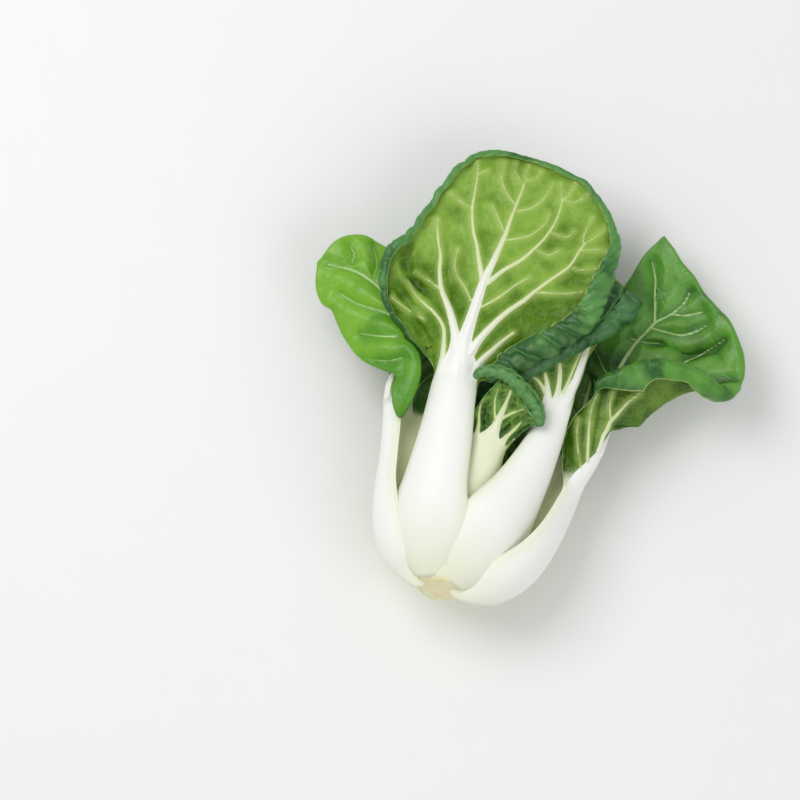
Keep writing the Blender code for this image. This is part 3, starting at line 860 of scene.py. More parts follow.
LEAVES["front_leaf"] = dict(
    PLAIN_LEAF, slot="pale_underside", greens=PALE, seed=11, columns=96, steps=18, roll_height=0.62,
    waves=(16, 1.2), cushions=(6, 0.2, 1.25, 1.7), crumple=0.12, ragged=(6, 1.2), back_rib=0.2,
    stalk=[
        ((-4, 3, 45), -12, 6.5, 3),
        ((-8.6, 12, 48.8), -15, 13, 4.5),
        ((-13.6, 26, 51), -18, 17.8, 6.5),
        ((-15.7, 44, 52), -20, 14.6, 7),
        ((-16.7, 65, 50.5), -14, 12, 6.5),
        ((-18.3, 84, 48), -6, 10.3, 5.5),
    ],
    blade=[
        ((-18.7, 93, 47), (-29.6, 93, 43.8), (-7.6, 93, 44.6)),
        ((-19, 101, 46.5), (-40, 101, 44), (3, 99.5, 49)),
        ((-19.2, 109, 46), (-54, 111, 45), (12, 108.5, 51)),
        ((-19.2, 118, 46), (-61.5, 121, 46), (23, 120, 52)),
        ((-18.8, 128, 45.5), (-63, 136, 46), (31.5, 133, 52)),
        ((-18, 139, 45), (-55.5, 150, 45), (34, 149, 51)),
        ((-17.2, 149, 44.5), (-50, 165, 44), (32.5, 166, 49)),
        ((-16.4, 158, 44), (-45, 181, 42), (25, 180.5, 46)),
        ((-15.8, 165, 43.5), (-36, 191.5, 40), (9, 192.5, 42)),
        ((-15.4, 170, 43), (-14.5, 195.5, 39), (-14.5, 195.5, 39)),
    ],
    rolls={
        "left": [
            (0, 0.5, 50), (6, 0.6, 60), (7, 1, 150), (9, 1.6, 210), (10, 2.4, 200), (11, 1.8, 170),
            (13, 1.5, 190), (15, 1.6, 180),
        ],
        "right": [
            (0, 0.5, 50), (6, 0.6, 60), (6.6, 3, 200), (7.2, 5.6, 240), (9, 5.4, 240), (10, 5, 240),
            (11, 4.2, 240), (12, 2.4, 220), (13, 1.3, 200), (15, 1.6, 180),
        ],
    },
    folds=[
        (3, 2, [(-58.5, 149), (-56, 137), (-51.5, 129.5), (-45.5, 125), (-37, 121.5)]),
        (1.5, 3, [(0, 130), (8, 129), (18, 131)]), (1.2, 2.6, [(2.6, 180), (1, 170), (-2, 162)]),
        (2, 1.8, [(-46, 113), (-40, 107), (-34, 100)]),
        (1.8, 1.8, [(-57, 124), (-50, 117.5), (-43, 111.5)]),
        (1.2, 1.8, [(-48, 150), (-43, 141), (-44, 133)]),
        (1.2, 2, [(-24, 118), (-30, 124), (-30, 131)]),
    ],
    seen_veins={
        "both": [
            [(-18.5, 90, 9.6), (-19, 97, 7.8), (-19.6, 102, 5.6), (-20, 108, 3.4),
             (-19.8, 116, 2.6), (-19.5, 125, 2.3), (-19.2, 135, 1.9), (-17.4, 146, 1.4),
             (-16, 158, 1), (-15.4, 167, 0.75), (-14.2, 180, 0.45), (-14.3, 191, 0.35)],
            [(-20, 135, 1.3), (-23.3, 142.5, 1), (-26.7, 149, 0.8), (-30, 155.8, 0.7),
             (-33.3, 164, 0.6), (-34.2, 172.5, 0.5), (-35.8, 180.8, 0.4), (-37.5, 185.8, 0.3)],
            [(-22, 100, 3), (-24.5, 108.5, 2), (-30, 118.3, 1.5), (-35.8, 125.8, 1.1),
             (-38.8, 133.3, 0.9), (-40.8, 140, 0.75), (-44.2, 148.3, 0.55), (-46.5, 156, 0.4)],
            [(-25.5, 90, 2.2), (-27, 98.5, 1.3), (-29, 107.5, 0.9), (-31.7, 111.7, 0.8),
             (-36.7, 115.8, 0.7), (-40.8, 117.5, 0.6), (-45.8, 120, 0.4), (-51, 125, 0.3)],
            [(-40, 111.5, 0.4), (-48, 113.5, 0.45), (-56, 116.5, 0.35)],
            [(-22, 125.4, 0.5), (-26.7, 130, 0.45), (-30.8, 134, 0.4), (-33.5, 138.5, 0.35),
             (-34, 146, 0.3)],
            [(-17.2, 135, 1.2), (-11.7, 142.5, 0.95), (-5.8, 149, 0.8), (-0.8, 156.7, 0.65),
             (2.5, 163.3, 0.55), (4.2, 171.7, 0.5), (4.4, 179, 0.4), (6.3, 184, 0.35),
             (7.5, 189, 0.3)],
            [(-17, 99, 3), (-13.8, 109, 1.8), (-10, 117.5, 1.4), (-5, 125, 1.15), (0, 131.7, 1),
             (3.3, 136.7, 0.9), (9.2, 145, 0.7), (15, 152.5, 0.6), (17.5, 160, 0.5),
             (19.2, 164, 0.4)],
            [(-12.4, 92, 2.4), (-10.6, 100, 1.6), (-6.7, 106.7, 1.2), (-3.3, 112.5, 0.9),
             (0, 117, 0.7)],
            [(-17, 124, 0.55), (-11.7, 129, 0.5), (-8.3, 133.3, 0.45), (-4.2, 138.3, 0.4),
             (0, 142.5, 0.3)],
            [(-15.6, 155, 0.45), (-10, 157.5, 0.4), (-5, 160.8, 0.4), (-0.8, 166.7, 0.35),
             (0.5, 172, 0.3)],
            [(-14.9, 168.8, 0.4), (-8.3, 172.5, 0.38), (-4.2, 178.3, 0.35), (-2.2, 186, 0.3)],
            [(-15.4, 171.7, 0.4), (-20.8, 175.8, 0.38), (-24.6, 181.7, 0.35), (-25.4, 189, 0.3)],
            [(-16.4, 158.3, 0.35), (-20, 162.5, 0.33), (-25, 168.3, 0.3)],
            [(-14, 183, 0.33), (-10, 186.3, 0.3), (-8.5, 190, 0.3)],
            [(-14.2, 181, 0.33), (-19.2, 185.8, 0.3), (-20.5, 190, 0.3)],
            [(-33.3, 164.6, 0.38), (-38.3, 165.8, 0.35), (-44.2, 168.8, 0.3)],
            [(-35.4, 180, 0.33), (-31.3, 183.3, 0.3)],
            [(2.9, 164.2, 0.38), (10, 164.2, 0.35), (13.3, 168, 0.3)],
            [(-0.8, 155, 0.38), (5, 154.2, 0.35), (9.5, 158, 0.3)],
            [(4.2, 180, 0.35), (10, 180.8, 0.33), (14.5, 185.5, 0.3)],
            [(3.8, 180, 0.35), (1.2, 187, 0.3)],
            [(3.3, 136.7, 0.5), (8.3, 138.3, 0.45), (16.7, 140, 0.4), (24, 143, 0.35)],
            [(15, 152.5, 0.38), (20.8, 152, 0.35), (27, 155, 0.3)],
            [(17.9, 160.8, 0.38), (24.2, 162.5, 0.35), (29, 163.3, 0.3)],
            [(18.8, 163.8, 0.38), (21.7, 166.7, 0.35), (26.5, 173, 0.3)],
            [(18.3, 163.3, 0.35), (17.5, 167.5, 0.33), (19.2, 176, 0.3)],
            [(-36.7, 126, 0.5), (-42.5, 128.3, 0.4), (-49.5, 130, 0.35)],
        ],
    },
)

LEAVES["front_right_leaf"] = dict(
    PLAIN_LEAF, slot="white_stalk", greens=DARK, seed=23, columns=34, steps=12, waves=(11, 1),
    cushions=(5, 0.5, 0.6, 0.7), crumple=0.3, ragged=(8, 0.3), back_rib=0.2,
    stalk=[
        ((4.6, 3, 45), 12, 6.5, 3),
        ((9.6, 12, 48.4), 16, 13, 4.5),
        ((15.6, 26, 49.6), 21, 17.4, 6.5),
        ((20, 38, 49.2), 26, 16.2, 7),
        ((23.4, 50, 47.5), 27, 13.2, 7),
        ((25.9, 64, 45.5), 22, 10.3, 6.5),
        ((27.8, 79, 43.5), 15, 7.8, 5.5),
    ],
    blade=[
        ((29.2, 91, 42.5), (21, 91, 43), (34.4, 91, 40.5)),
        ((30.9, 99, 42), (11, 98, 45.5), (34.4, 100, 39.5)),
        ((32, 107, 41.6), (15, 106, 46.5), (34.6, 109, 39)),
        ((32.6, 115, 41), (22, 114.5, 46.5), (34.9, 118, 39.5)),
        ((33.2, 122, 40.5), (29.5, 121.5, 46), (37.5, 127, 41)),
        ((35.5, 130, 40), (36.5, 130.5, 45), (43, 133.5, 42.5)),
        ((38.5, 137, 39.5), (40, 140, 43), (46, 140, 41.5)),
        ((41.5, 144, 39.5), (43.5, 147, 41), (43.5, 147, 41)),
    ],
    rolls={
        "left": [(0, 0.5, 50), (14, 0.6, 60)],
        "right": [(0, 0.5, 50), (10, 0.6, 60), (12, 1, 100), (14, 0.6, 60)],
    },
    curls=[
        {
            "path": [
                (5.5, 97.5, 46, 2.2), (9, 101.5, 47, 3.8), (15, 107.5, 47.5, 4.4),
                (21.5, 115, 47.5, 4.6), (28, 121, 47, 4.5), (34, 127, 46, 5),
                (39.5, 135, 44.5, 6.4), (42.5, 142, 43, 7.8), (43.5, 147.5, 42, 7.2),
            ],
            "start": 250,
            "turn": 400,
            "tighten": 0.3,
        },
    ],
    seen_veins={
        "both": [
            [(27.5, 86, 7.4), (29.6, 92, 5), (31.4, 97, 3), (32.5, 104, 2.2), (32.8, 112, 1.9),
             (33, 120, 1.3), (34, 128, 0.9), (38, 138, 0.4)],
            [(26, 90, 3), (26.6, 97, 1.4), (24.6, 106, 1), (22.5, 112, 0.7)],
            [(28.5, 94, 1.4), (29.4, 102, 0.8), (29.8, 110, 0.6), (31, 118, 0.4)],
            [(23.5, 91, 2.6), (21, 98, 1.3), (18.8, 103, 0.8), (16.5, 107, 0.55)],
            [(22.5, 94, 1.2), (17, 99.5, 0.7), (12.5, 101.5, 0.5)],
        ],
    },
)

LEAVES["left_outer_leaf"] = dict(
    PLAIN_LEAF, slot="bright_leaf", greens=BRIGHT, seed=37, columns=56, steps=16,
    greening=(-2.2, 0), waves=(18, 1.4), cushions=(11, 0.3, 0.3, 1.5), crumple=0.25,
    ragged=(12, 0.8),
    stalk=[
        ((-6, 9, 36), -30, 4.5, 3.5),
        ((-10, 2.6, 38), -42, 5.6, 3.8),
        ((-18.2, 5, 40.8), -50, 7, 4.6),
        ((-26.6, 12.8, 41.4), -60, 9.2, 5.5),
        ((-32.8, 24, 38.4), -74, 11, 6),
        ((-36.2, 37, 34.5), -84, 11.2, 6),
        ((-38.2, 50, 33.5), -84, 10, 5.5),
        ((-41.4, 66, 33), -76, 8, 5),
        ((-44.4, 77, 33), -64, 6, 4),
    ],
    blade=[
        ((-45.4, 84, 34), (-40.5, 85, 27), (-37.6, 67, 43), (-2, 0, 0), (4.4, 3, 5.2)),
        ((-45.6, 90, 36.5), (-37.5, 93, 25.5), (-42, 75, 43.5), (1.5, 0, 1), (8, 4, 6.2)),
        ((-45.4, 96, 39.5), (-37.5, 99, 25.5), (-43, 83.5, 44), (2, 0, 2), (6.2, 3.5, 5.2)),
        ((-46.6, 103, 42), (-39, 107, 25.5), (-51, 85, 41), (2, 0, 2), (2.4, 2.5, 3.8)),
        ((-50.6, 110, 42.5), (-44, 118, 26), (-62, 88, 35.5), (1, 0, 1), (0, 0, 2.6)),
        ((-57.5, 117, 41), (-52, 129, 28), (-71.5, 97, 32), (0, 0, 1), (0, 0, 2)),
        ((-65, 121.8, 39), (-62, 139, 31), (-79, 106.5, 30.5), (0, 0, 1), (0, 0, 2)),
        ((-73, 124.5, 37), (-75, 142.5, 33), (-85, 108.5, 29.5), (0, 0, 0), (0, 0, 1)),
        ((-81, 125.6, 35), (-86, 137, 33), (-89.5, 115, 30)),
        ((-87, 125, 33.5), (-92, 124.5, 31.5), (-92, 124.5, 31.5)),
    ],
    rolls={
        "left": [(0, 0.5, 50), (9, 0.6, 50), (15, 1.2, 90), (16, 1.4, 110), (18, 0.6, 60)],
        "right": [(0, 0.5, 50), (9, 0.8, 60), (18, 0.8, 60)],
    },
    row_veins=[
        [(8, 0, 2.4), (9, 0, 1.8), (10, 0, 1.2), (11, 0, 0.9), (12, 0, 0.8), (14, 0, 0.7),
         (16, 0, 0.5), (18, 0, 0.4)],
    ],
    seen_veins={
        "right": [
            [(-45, 101.4, 0.6), (-51, 99.6, 0.5), (-57, 98.2, 0.45), (-64.3, 97.1, 0.4)],
            [(-50.5, 107.8, 0.5), (-57, 109, 0.45), (-70, 109.6, 0.4), (-78, 111.5, 0.35)],
            [(-44, 92, 0.4), (-49.5, 89, 0.38), (-55, 88, 0.35)],
        ],
        "left": [
            [(-77.5, 126.1, 0.4), (-77.9, 130, 0.38), (-80.7, 133, 0.35)],
            [(-66, 122.5, 0.42), (-66.5, 129, 0.38), (-70, 135, 0.35)],
        ],
    },
)

LEAVES["right_outer_leaf"] = dict(
    PLAIN_LEAF, slot="dark_leaf", greens=DEEP, seed=41, columns=84, steps=13, greening=(-1, 1.4),
    roll_height=0.7, waves=(15, 1.4), cushions=(11, 0.2, 0.7, 2.2), crumple=0.15, ragged=(10, 1.2),
    stalk=[
        ((6, 9, 36.5), 30, 5, 3.5),
        ((11, 3.2, 39), 38, 6.2, 3.8),
        ((19.2, 4.2, 42.4), 44, 8.4, 4.6),
        ((28.8, 10.6, 43.6), 54, 11.2, 5.5),
        ((37.6, 21, 40.6), 67, 12.8, 6.5),
        ((42.8, 35, 36.5), 76, 12.6, 6.5),
        ((45.6, 51, 32.5), 74, 10, 5.5),
    ],
    blade=[
        ((48.2, 64, 32.5), (40.5, 60, 38.5), (45.5, 66, 23), (0, 0, 0), (1, 0, -2)),
        ((50.4, 75, 32.5), (36.5, 71, 37.5), (46, 79, 21), (2, -1, 3), (2, 0, -2)),
        ((52, 84, 31.5), (35.5, 82, 37.5), (46, 89, 19), (4, -2, 5), (2, -1, -1)),
        ((52.8, 91, 29), (37.5, 91, 39.5), (44, 98, 17.5), (6, -3.5, 4), (3, -3, 0)),
        ((52.6, 97, 26.5), (41.5, 99, 41.5), (41, 108, 16.5), (10, -8, 2), (1, -2, 0)),
        ((51.8, 103, 24.5), (44, 107.5, 42.5), (38, 118, 15.5), (13.5, -12.5, 0), (0, 0, -1)),
        ((50.4, 109, 23), (52.5, 114, 43.5), (37, 130, 15.5), (16, -16, -2)),
        ((50, 115, 22), (65.5, 121, 43.5), (37.5, 143, 16.5), (13.5, -16, -5)),
        ((50.5, 122, 21), (83, 123.5, 42.5), (41.5, 152, 18.5), (9, -13, -7)),
        ((52.5, 129.5, 20.5), (98.5, 119.5, 38), (43.8, 160, 20.5), (3, -5, -7)),
        ((55, 136, 21), (102.5, 133, 31), (45.5, 167, 21.5), (0, 0, -4)),
        ((58, 141, 21.5), (92.5, 151.5, 28), (47, 172.5, 22), (0, 0, -2)),
        ((57.5, 149, 21.5), (75.5, 163.5, 25.5), (49, 178.5, 22), (0, 0, -1)),
        ((56.5, 159, 22), (52.5, 183.5, 22.5), (52.5, 183.5, 22.5)),
    ],
    rolls={
        "left": [
            (0, 0.5, 50, 0), (10, 0.5, 50, 0), (11, 1, 90, 0), (12, 1.6, 150, 4),
            (13, 2.6, 170, 10), (13.5, 2.8, 175, 13), (14, 2.8, 175, 7), (15, 2.8, 170, 5),
            (15.5, 2.6, 165, 8), (16, 2.4, 165, 6), (17, 1.4, 120, 1), (18, 0.8, 80, 0),
            (20, 0.7, 60, 0),
        ],
        "right": [(0, 0.5, 50), (20, 0.6, 50)],
    },
    folds=[
        (-3.4, 3.2, [(58, 128), (66, 131.5), (75, 130.5), (84, 133.5), (94, 136.5)]),
        (-1.4, 2.6, [(74, 143), (80, 147), (86, 151)]),
        (-1.4, 2.6, [(60, 150), (63, 157), (64, 163)]),
    ],
    row_veins=[
        [(5, 0, 11), (6, 0, 9.5), (7, 0, 7.4), (8, 0, 5), (9, 0, 2.8), (10, 0, 1.6), (11, 0, 1.2),
         (12, 0, 1.1), (13, 0, 1.2), (14, 0, 1.1), (15, 0, 0.95), (16, 0, 0.8), (17, 0, 0.65),
         (18, 0, 0.5)],
    ],
    seen_veins={
        "both": [
            [(57, 135, 0.65), (60, 140.4, 0.6), (65, 145.8, 0.58), (69.2, 152.5, 0.55),
             (70, 157, 0.5)],
            [(59.4, 139.8, 0.6), (57.5, 146.7, 0.55), (55.8, 152.5, 0.5), (54.2, 158.5, 0.48),
             (50.8, 165.5, 0.4)],
            [(58.2, 137, 0.55), (66.7, 137.5, 0.5), (72.5, 138.3, 0.55), (78.3, 141.7, 0.52),
             (82, 144.5, 0.5)],
            [(51.5, 130, 0.5), (58.3, 130.4, 0.45), (64, 131.5, 0.4)],
            [(77, 127, 0.6), (81.7, 130.6, 0.58), (86, 134.8, 0.55), (91, 140.7, 0.5)],
            [(65, 145.8, 0.52), (72, 147.5, 0.52), (78, 150.5, 0.5)],
        ],
        "right": [
            [(47.5, 110.4, 0.6), (43.3, 114.2, 0.5), (37.5, 121, 0.4)],
            [(46.5, 100, 0.5), (43, 104, 0.4), (41, 108, 0.35)],
        ],
        "left margin": [
            [(51.9, 89, 1), (52.4, 91.5, 0.9), (54.2, 95.8, 0.75), (57.5, 101.7, 0.6),
             (61.5, 107.5, 0.45)],
            [(44.2, 86, 0.58), (43.8, 88, 0.55), (42.8, 95, 0.45), (43.4, 102, 0.4)],
            [(52.3, 92.5, 0.55), (50, 99.2, 0.45), (49.8, 107, 0.4)],
        ],
        "left": [
            [(50.6, 78, 1.9), (51, 83, 1.4), (51.9, 89, 1), (52.4, 91.5, 0.9)],
            [(48, 70, 1.2), (46.8, 75, 0.8), (45.4, 81, 0.65), (44.2, 86, 0.58)],
            [(45.4, 69, 0.6), (41.8, 77, 0.42), (39.6, 83, 0.35), (38.6, 88, 0.33)],
            [(92, 121.5, 0.38), (96.7, 124.2, 0.33), (100.8, 125.5, 0.3)],
        ],
    },
)

LEAVES["back_left_leaf"] = dict(
    BACK_LEAF, seed=53,
    stalk=[
        ((-8.5, 3, 32), -128, 5.5, 3),
        ((-17, 14, 31), -136, 9.5, 4.5),
        ((-24.5, 30, 30.5), -150, 11, 5.5),
        ((-29.5, 50, 29.5), -160, 9, 5),
        ((-33, 68, 26), -165, 7.5, 4.5),
    ],
    blade=[
        ((-34.5, 79, 25), (-25, 78, 31), (-42.5, 80, 22)),
        ((-36, 93, 22), (-20, 94, 29.5), (-50, 93, 20)),
        ((-38.5, 107, 16.5), (-12, 114, 18), (-56, 108, 20)),
        ((-39.5, 122, 14.5), (-10, 136, 14), (-56, 128, 19)),
        ((-39.5, 136, 13.5), (-19, 154, 13.5), (-50, 147, 16)),
        ((-39, 147, 13), (-37, 164, 12.5), (-37, 164, 12.5)),
    ],
)

LEAVES["back_right_leaf"] = dict(
    BACK_LEAF, seed=59,
    stalk=[
        ((8.5, 3, 32), 128, 5.5, 3),
        ((18.5, 14, 31), 136, 10, 4.5),
        ((28, 30, 29.5), 148, 12, 5.5),
        ((36, 50, 26.5), 158, 9, 5),
        ((39, 68, 21), 164, 7.5, 4.5),
    ],
    blade=[
        ((39, 80, 14.5), (46, 80, 13.5), (29, 80, 12.5)),
        ((39.5, 94, 11.5), (51, 96, 10.5), (20, 96, 10.5)),
        ((40, 108, 9.5), (62, 115, 9.5), (13, 115, 9.5)),
        ((39.5, 121, 8.5), (64, 134, 9.5), (13, 134, 9.5)),
        ((38.5, 133, 8.5), (55, 151, 9.5), (22, 151, 9.5)),
        ((37.5, 143, 8.5), (37, 161, 9), (37, 161, 9)),
    ],
)

LEAVES["back_leaf"] = dict(
    BACK_LEAF, seed=61, columns=34, steps=13, waves=(16, 0.5), cushions=(7, 0.6, 0.3, 0.5),
    crumple=0.2, ragged=(8, 1),
    stalk=[
        ((0, -2.5, 27.5), 180, 8, 4),
        ((0, 6, 13.5), 180, 13, 5.5),
        ((0, 22, 3.6), 180, 15.5, 6.5),
        ((-1, 45, 3.2), 180, 12.5, 6),
        ((-3, 68, 2.8), 180, 9, 5),
    ],
    blade=[
        ((-5, 88, 2.3), (2.5, 88, 3.5), (-12.5, 88, 3.5)),
        ((-6.5, 102, 2), (19, 102, 4), (-32, 102, 4)),
        ((-7.5, 117, 1.8), (31, 120, 4.5), (-46, 120, 4.5)),
        ((-8.5, 132, 1.8), (33, 140, 4.5), (-50, 140, 4.5)),
        ((-9.5, 146, 1.8), (25, 160, 4.5), (-44, 160, 4.5)),
        ((-10, 158, 1.8), (-10, 178, 3), (-10, 178, 3)),
    ],
    rolls=both_margins((0, 0.5, 50), (10, 0.6, 50)),
    row_veins=[
        [(4, 0, 8), (5, 0, 4), (6, 0, 2.2), (8, 0, 1), (10, 0, 0.35)],
        *ribs_on_rows(5, 3.6, 5.2, 0.8),
    ],
)

LEAVES["heart_leaf_front"] = dict(
    PLAIN_LEAF, slot="heart_leaf", greens=HEART, seed=67, columns=44, steps=22, roll_height=0.9,
    waves=(6, 1.3), cushions=(4.2, 1.2, 0.4, 1.3), crumple=0.8, ragged=(5, 0.6), back_rib=0.2,
    stalk=[
        ((0.5, 17, 42), 0, 4, 3),
        ((1, 27, 45), 0, 7.5, 4),
        ((2, 42, 46), 0, 10, 4.5),
        ((2.6, 56, 45.5), 0, 9.4, 4.2),
        ((2.8, 66, 45), 0, 8.8, 4),
    ],
    blade=[
        ((3.4, 72, 45), (-7, 72, 44), (13.5, 70.5, 44.5)),
        ((4.6, 79, 46.5), (-6.5, 79, 45.5), (16, 75, 46)),
        ((5.4, 85.5, 48.5), (-3.5, 87, 49), (19, 79, 49)),
        ((5.6, 91, 51), (-1, 92, 53), (19.5, 82, 52)),
        ((5.2, 94, 53), (3.5, 95.5, 54.5), (3.5, 95.5, 54.5)),
    ],
    rolls=both_margins((0, 0.4, 50), (9, 0.5, 90)),
    curls=[
        {
            "path": [
                (-11, 93.4, 52.5, 0.9), (-9, 95.8, 54, 2), (-4.5, 98, 55, 2.5),
                (2, 98.3, 55.3, 2.8), (8, 96, 55, 2.9), (14, 92.3, 54, 2.9), (18.8, 88.4, 53, 2.7),
                (21.6, 84.2, 52, 2.3), (22.8, 81, 51, 1.2),
            ],
            "start": 230,
            "turn": 430,
            "tighten": 0.25,
        },
    ],
    seen_veins={
        "both": [
            [(2.9, 60, 9.4), (3.2, 66, 7.4), (3.7, 71, 3.6), (4.4, 75, 2.1), (5, 80, 1.5),
             (5.6, 86, 1), (6.2, 92, 0.7)],
            [(-1.2, 64, 3), (-2.4, 69.5, 1.3), (-3.3, 74.5, 0.7), (-4.6, 80, 0.45), (-5, 85, 0.35)],
            [(-3.4, 63, 2.2), (-5, 69, 0.8), (-6.2, 74, 0.45)],
            [(4.6, 75.5, 0.9), (2.4, 80.5, 0.6), (0.6, 86.5, 0.45), (0.4, 91, 0.35)],
            [(5.2, 78.5, 0.9), (9.6, 83, 0.6), (14, 86, 0.4)],
            [(7, 64.5, 3), (9.8, 71, 1.2), (12.7, 76.5, 0.7), (14.5, 80, 0.45)],
            [(9.4, 63, 2), (12.6, 68.4, 0.8), (16.5, 70.8, 0.45)],
        ],
    },
)

LEAVES["heart_leaf_left"] = dict(
    HEART_LEAF, seed=71,
    stalk=[
        ((-6.5, 16, 33.5), -95, 4, 2.8),
        ((-12, 30, 32.5), -95, 7, 4),
        ((-13, 50, 32.5), -92, 6.5, 4),
        ((-13.5, 66, 33), -85, 5, 3.5),
    ],
    blade=[
        ((-14.5, 78, 33.5), (-13.5, 78, 27), (-11.5, 78, 39)),
        ((-15.5, 90, 34), (-12, 92, 23.5), (-8, 91, 40.5)),
        ((-16, 101, 34), (-11, 107, 23.5), (-6, 105, 40)),
        ((-15.5, 111, 34), (-12, 127, 32), (-12, 127, 32)),
    ],
)

LEAVES["heart_leaf_right"] = dict(
    HEART_LEAF, seed=73,
    stalk=[
        ((7.5, 16, 33.5), 95, 4, 2.8),
        ((13.5, 30, 31.5), 95, 6.5, 4),
        ((16, 46, 30.5), 92, 6, 4),
        ((17, 54, 30.5), 88, 5, 3.5),
    ],
    blade=[
        ((18, 61, 30.5), (12.5, 57, 38), (18, 63, 25)),
        ((19.5, 74, 30.5), (11, 68, 39.5), (18, 76, 24)),
        ((20, 90, 30), (12, 86, 38), (17, 92, 21.5)),
        ((19.5, 101, 29.5), (12, 104, 35.5), (14, 106, 21)),
        ((18, 111, 29), (13, 126, 28), (13, 126, 28)),
    ],
    rolls=both_margins((0, 0.4, 50), (8, 0.5, 80)),
)

LEAVES["heart_leaf_back"] = dict(
    HEART_LEAF, seed=79,
    stalk=[
        ((0.5, 15, 27), 180, 4, 2.8),
        ((0.5, 28, 20.5), 180, 7.5, 4),
        ((0.5, 48, 18.5), 180, 7.5, 4),
        ((0.5, 66, 18), 180, 6, 3.5),
    ],
    blade=[
        ((1, 78, 18), (7.5, 78, 19.5), (-6, 78, 19.5)),
        ((1.5, 91, 18), (12, 93, 19), (-8, 93, 19.5)),
        ((2, 104, 18), (10.5, 109, 18.5), (-5.5, 109, 19)),
        ((2.5, 115, 18), (3, 131, 18), (3, 131, 18)),
    ],
    row_veins=[[(3, 0, 5), (4, 0, 2), (5, 0, 1), (7, 0, 0.35)]] + ribs_on_rows(4, 2.2, 4, 0.6),
)


# ---------------------------------------------------------------- pieces

def put_in_scene(name, data):
    """A new object in the scene."""
    made = bpy.data.objects.new(name, data)
    bpy.context.scene.collection.objects.link(made)
    return made


def add_piece(name, mesh, material, node):
    """A piece that stands for a CAD node."""
    body = put_in_scene(name, mesh)
    body.data.materials.append(material)
    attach(body, "root")
    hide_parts(node)


STEM_PROFILE = [    # distance from the cut and radius, over the cut's radius
    (-0.08, 0.0), (-0.08, 0.3), (-0.08, 0.6), (-0.07, 0.85), (-0.03, 0.95), (0.05, 1.03), (0.16, 1.1),
    (0.35, 1.18), (0.6, 1.2), (0.95, 1.1), (1.4, 0.7), (1.8, 0.3), (1.95, 0.0),
]
STEM_RINGS = 90
STEM_COLUMNS = 120


def add_stem():
    """The stem: a rough cut face, and the ring where the leaf bases have grown together."""
    profile = sampled(np.array(STEM_PROFILE) * CUT_RADIUS, STEM_RINGS)
    around = np.linspace(0, math.tau, STEM_COLUMNS, endpoint=False)
    along, radius = profile[:, :1], np.maximum(profile[:, 1:], 0.01)
    points = around_axis(radius, along, around)
    rough = noise(points, 2.5, 91) * 0.12 + noise(points, 0.9, 92) * 0.04
    points[..., 1] += rough * (along < 0.5)
    lobes = 1 + 0.04 * np.sin(3 * around + 0.6) + 0.03 * np.sin(5 * around)
    points[..., (0, 2)] *= lobes[None, :, None]
    lean = np.array(Matrix.Rotation(-CUT_LEAN, 3, "X"))
    placed = (points @ lean.T + (0, 0, CUT_HEIGHT)).reshape(-1, 3) * MM + HEAD_ORIGIN
    reach = np.broadcast_to(radius / CUT_RADIUS + (along > 1.0), points.shape[:2])
    faces = ring_faces(STEM_RINGS, STEM_COLUMNS)
    mesh = smooth_mesh("stem", placed, faces, points, {"edge": reach})
    add_piece("stem", mesh, stem_material(), "stem_butt")


BUD_RINGS = 90
BUD_COLUMNS = 96
BUD_LEAVES = 3          # margins that spiral up it
BUD_TWIST = 1.2         # how far each spirals, over the angle between two of them


def add_bud():
    """The heart's bud: young leaves wrapped tightly round each other, their margins spiralling up."""
    low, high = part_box("heart_bud")
    length = (high[1] - low[1]) / MM
    radius = (high[0] - low[0]) / 2 / MM
    foot = np.array(((low[0] + high[0]) / 2, low[1], (low[2] + high[2]) / 2))
    along = np.linspace(0.0, 1.0, BUD_RINGS)[:, None]
    around = np.linspace(0, math.tau, BUD_COLUMNS, endpoint=False)[None]
    width = radius * (0.35 + 0.65 * np.sin(math.pi * along**0.8)) * (1 - along**6 * 0.8)
    lap = (around / math.tau * BUD_LEAVES + along * BUD_TWIST) % 1.0
    points = around_axis(width * (0.9 + 0.12 * lap), along * length, around)
    points = points + noise(points, 3.0, 97)[..., None] * 0.25
    blank = np.zeros(lap.shape)
    values = {
        "vein": 0.3 + 2.0 * np.abs(lap - 0.5),
        "broad": blank,
        "net": blank + FAR,
        "hollow": blank,
        "stalk": blank + 1 - smoothstep(0.2, 0.5, along),
        "edge": blank + 0.5,
        "along": blank + along,
        "inside": blank,
    }
    faces = ring_faces(BUD_RINGS, BUD_COLUMNS)
    mesh = smooth_mesh("bud", points.reshape(-1, 3) * MM + foot, faces, points, values)
    add_piece("bud", mesh, leaf_material("bud", *PALE), "heart_bud")


def add_leaf(name, leaf):
    """One leaf, with its own material."""
    curls = [curl_surface(curl, leaf["seed"] + 7) for curl in leaf["curls"]]
    mesh = leaf_mesh(name, [leaf_surface(leaf)] + curls)
    material = leaf_material(name, *leaf["greens"])
    add_piece(name + "_skin", mesh, material, name)


# ---------------------------------------------------------------- the stage

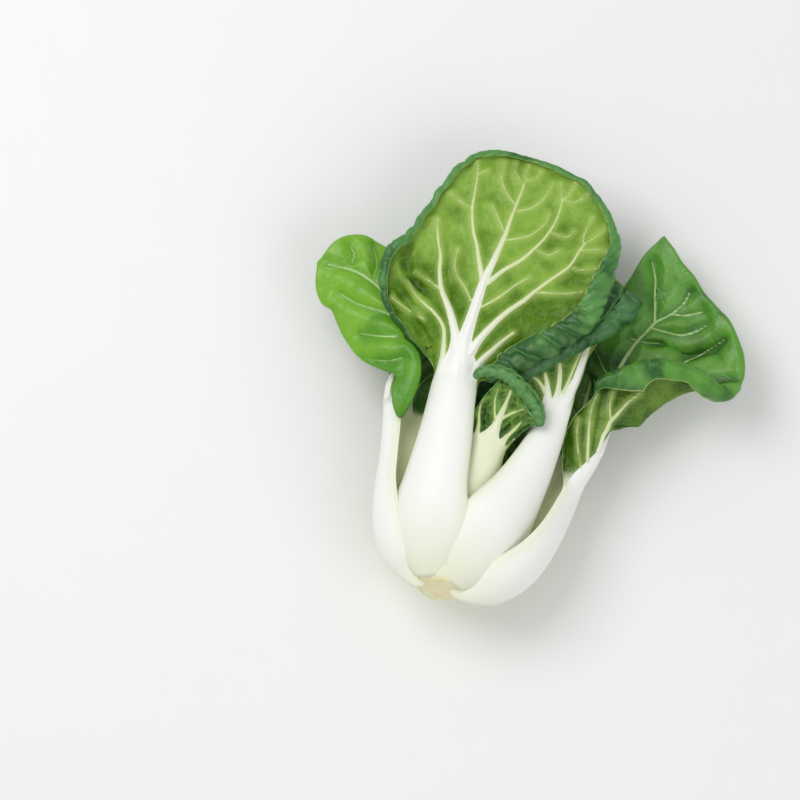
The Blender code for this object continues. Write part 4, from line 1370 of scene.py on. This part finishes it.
FLOOR_HALF = 6.0
FLOOR_GREY = 0.93
SKY_STRENGTH = 0.56
LAMPS = {       # a square lamp's side, power and place
    "key": (0.6, 4.6, (-0.55, 0.15, 0.95)),
    "fill": (0.9, 2.8, (0.7, -0.4, 1.0)),
}


def add_camera():
    """The camera, looking down at the head."""
    forward = Vector((0.0, math.cos(ELEVATION), -math.sin(ELEVATION)))
    upright = Vector((0.0, math.sin(ELEVATION), math.cos(ELEVATION)))
    level = Vector((1.0, 0.0, 0.0))
    right = math.cos(ROLL) * level + math.sin(ROLL) * upright
    up = math.cos(ROLL) * upright - math.sin(ROLL) * level
    cut = Vector(HEAD_ORIGIN) + Vector((0.0, 0.0, CUT_HEIGHT * MM))
    aim = cut + VIEW_WIDTH * (AIM_ACROSS * level + AIM_UP * upright)
    data = bpy.data.cameras.new("camera")
    data.lens = LENS
    data.sensor_width = SENSOR
    camera = put_in_scene("camera", data)
    turn = Matrix((right, up, -forward)).transposed().to_4x4()
    turn.translation = aim - forward * (VIEW_WIDTH * LENS / SENSOR)
    camera.matrix_world = turn
    bpy.context.scene.camera = camera


def add_floor():
    """A plain pale floor."""
    mesh = bpy.data.meshes.new("floor")
    corners = [(x * FLOOR_HALF, y * FLOOR_HALF, 0) for x, y in ((-1, -1), (1, -1), (1, 1), (-1, 1))]
    mesh.from_pydata(corners, [], [(0, 1, 2, 3)])
    floor = put_in_scene("floor", mesh)
    mesh.materials.append(floor_material())


def add_lights():
    """Soft studio light: an even pale sky, and two large lamps aimed at the head."""
    world = bpy.data.worlds.new("studio")
    world.use_nodes = True
    sky = world.node_tree.nodes["Background"]
    sky.inputs["Color"].default_value = (1.0, 1.0, 1.0, 1.0)
    sky.inputs["Strength"].default_value = SKY_STRENGTH
    bpy.context.scene.world = world
    for name, (size, power, place) in LAMPS.items():
        data = bpy.data.lights.new(name, "AREA")
        data.size = size
        data.energy = power
        lamp = put_in_scene(name, data)
        lamp.location = place
        lamp.rotation_euler = (-Vector(place)).to_track_quat("-Z", "Y").to_euler()
    bpy.context.scene.view_settings.view_transform = "Standard"


add_stem()
add_bud()
for leaf_name, leaf in LEAVES.items():
    add_leaf(leaf_name, leaf)
add_camera()
add_floor()
add_lights()
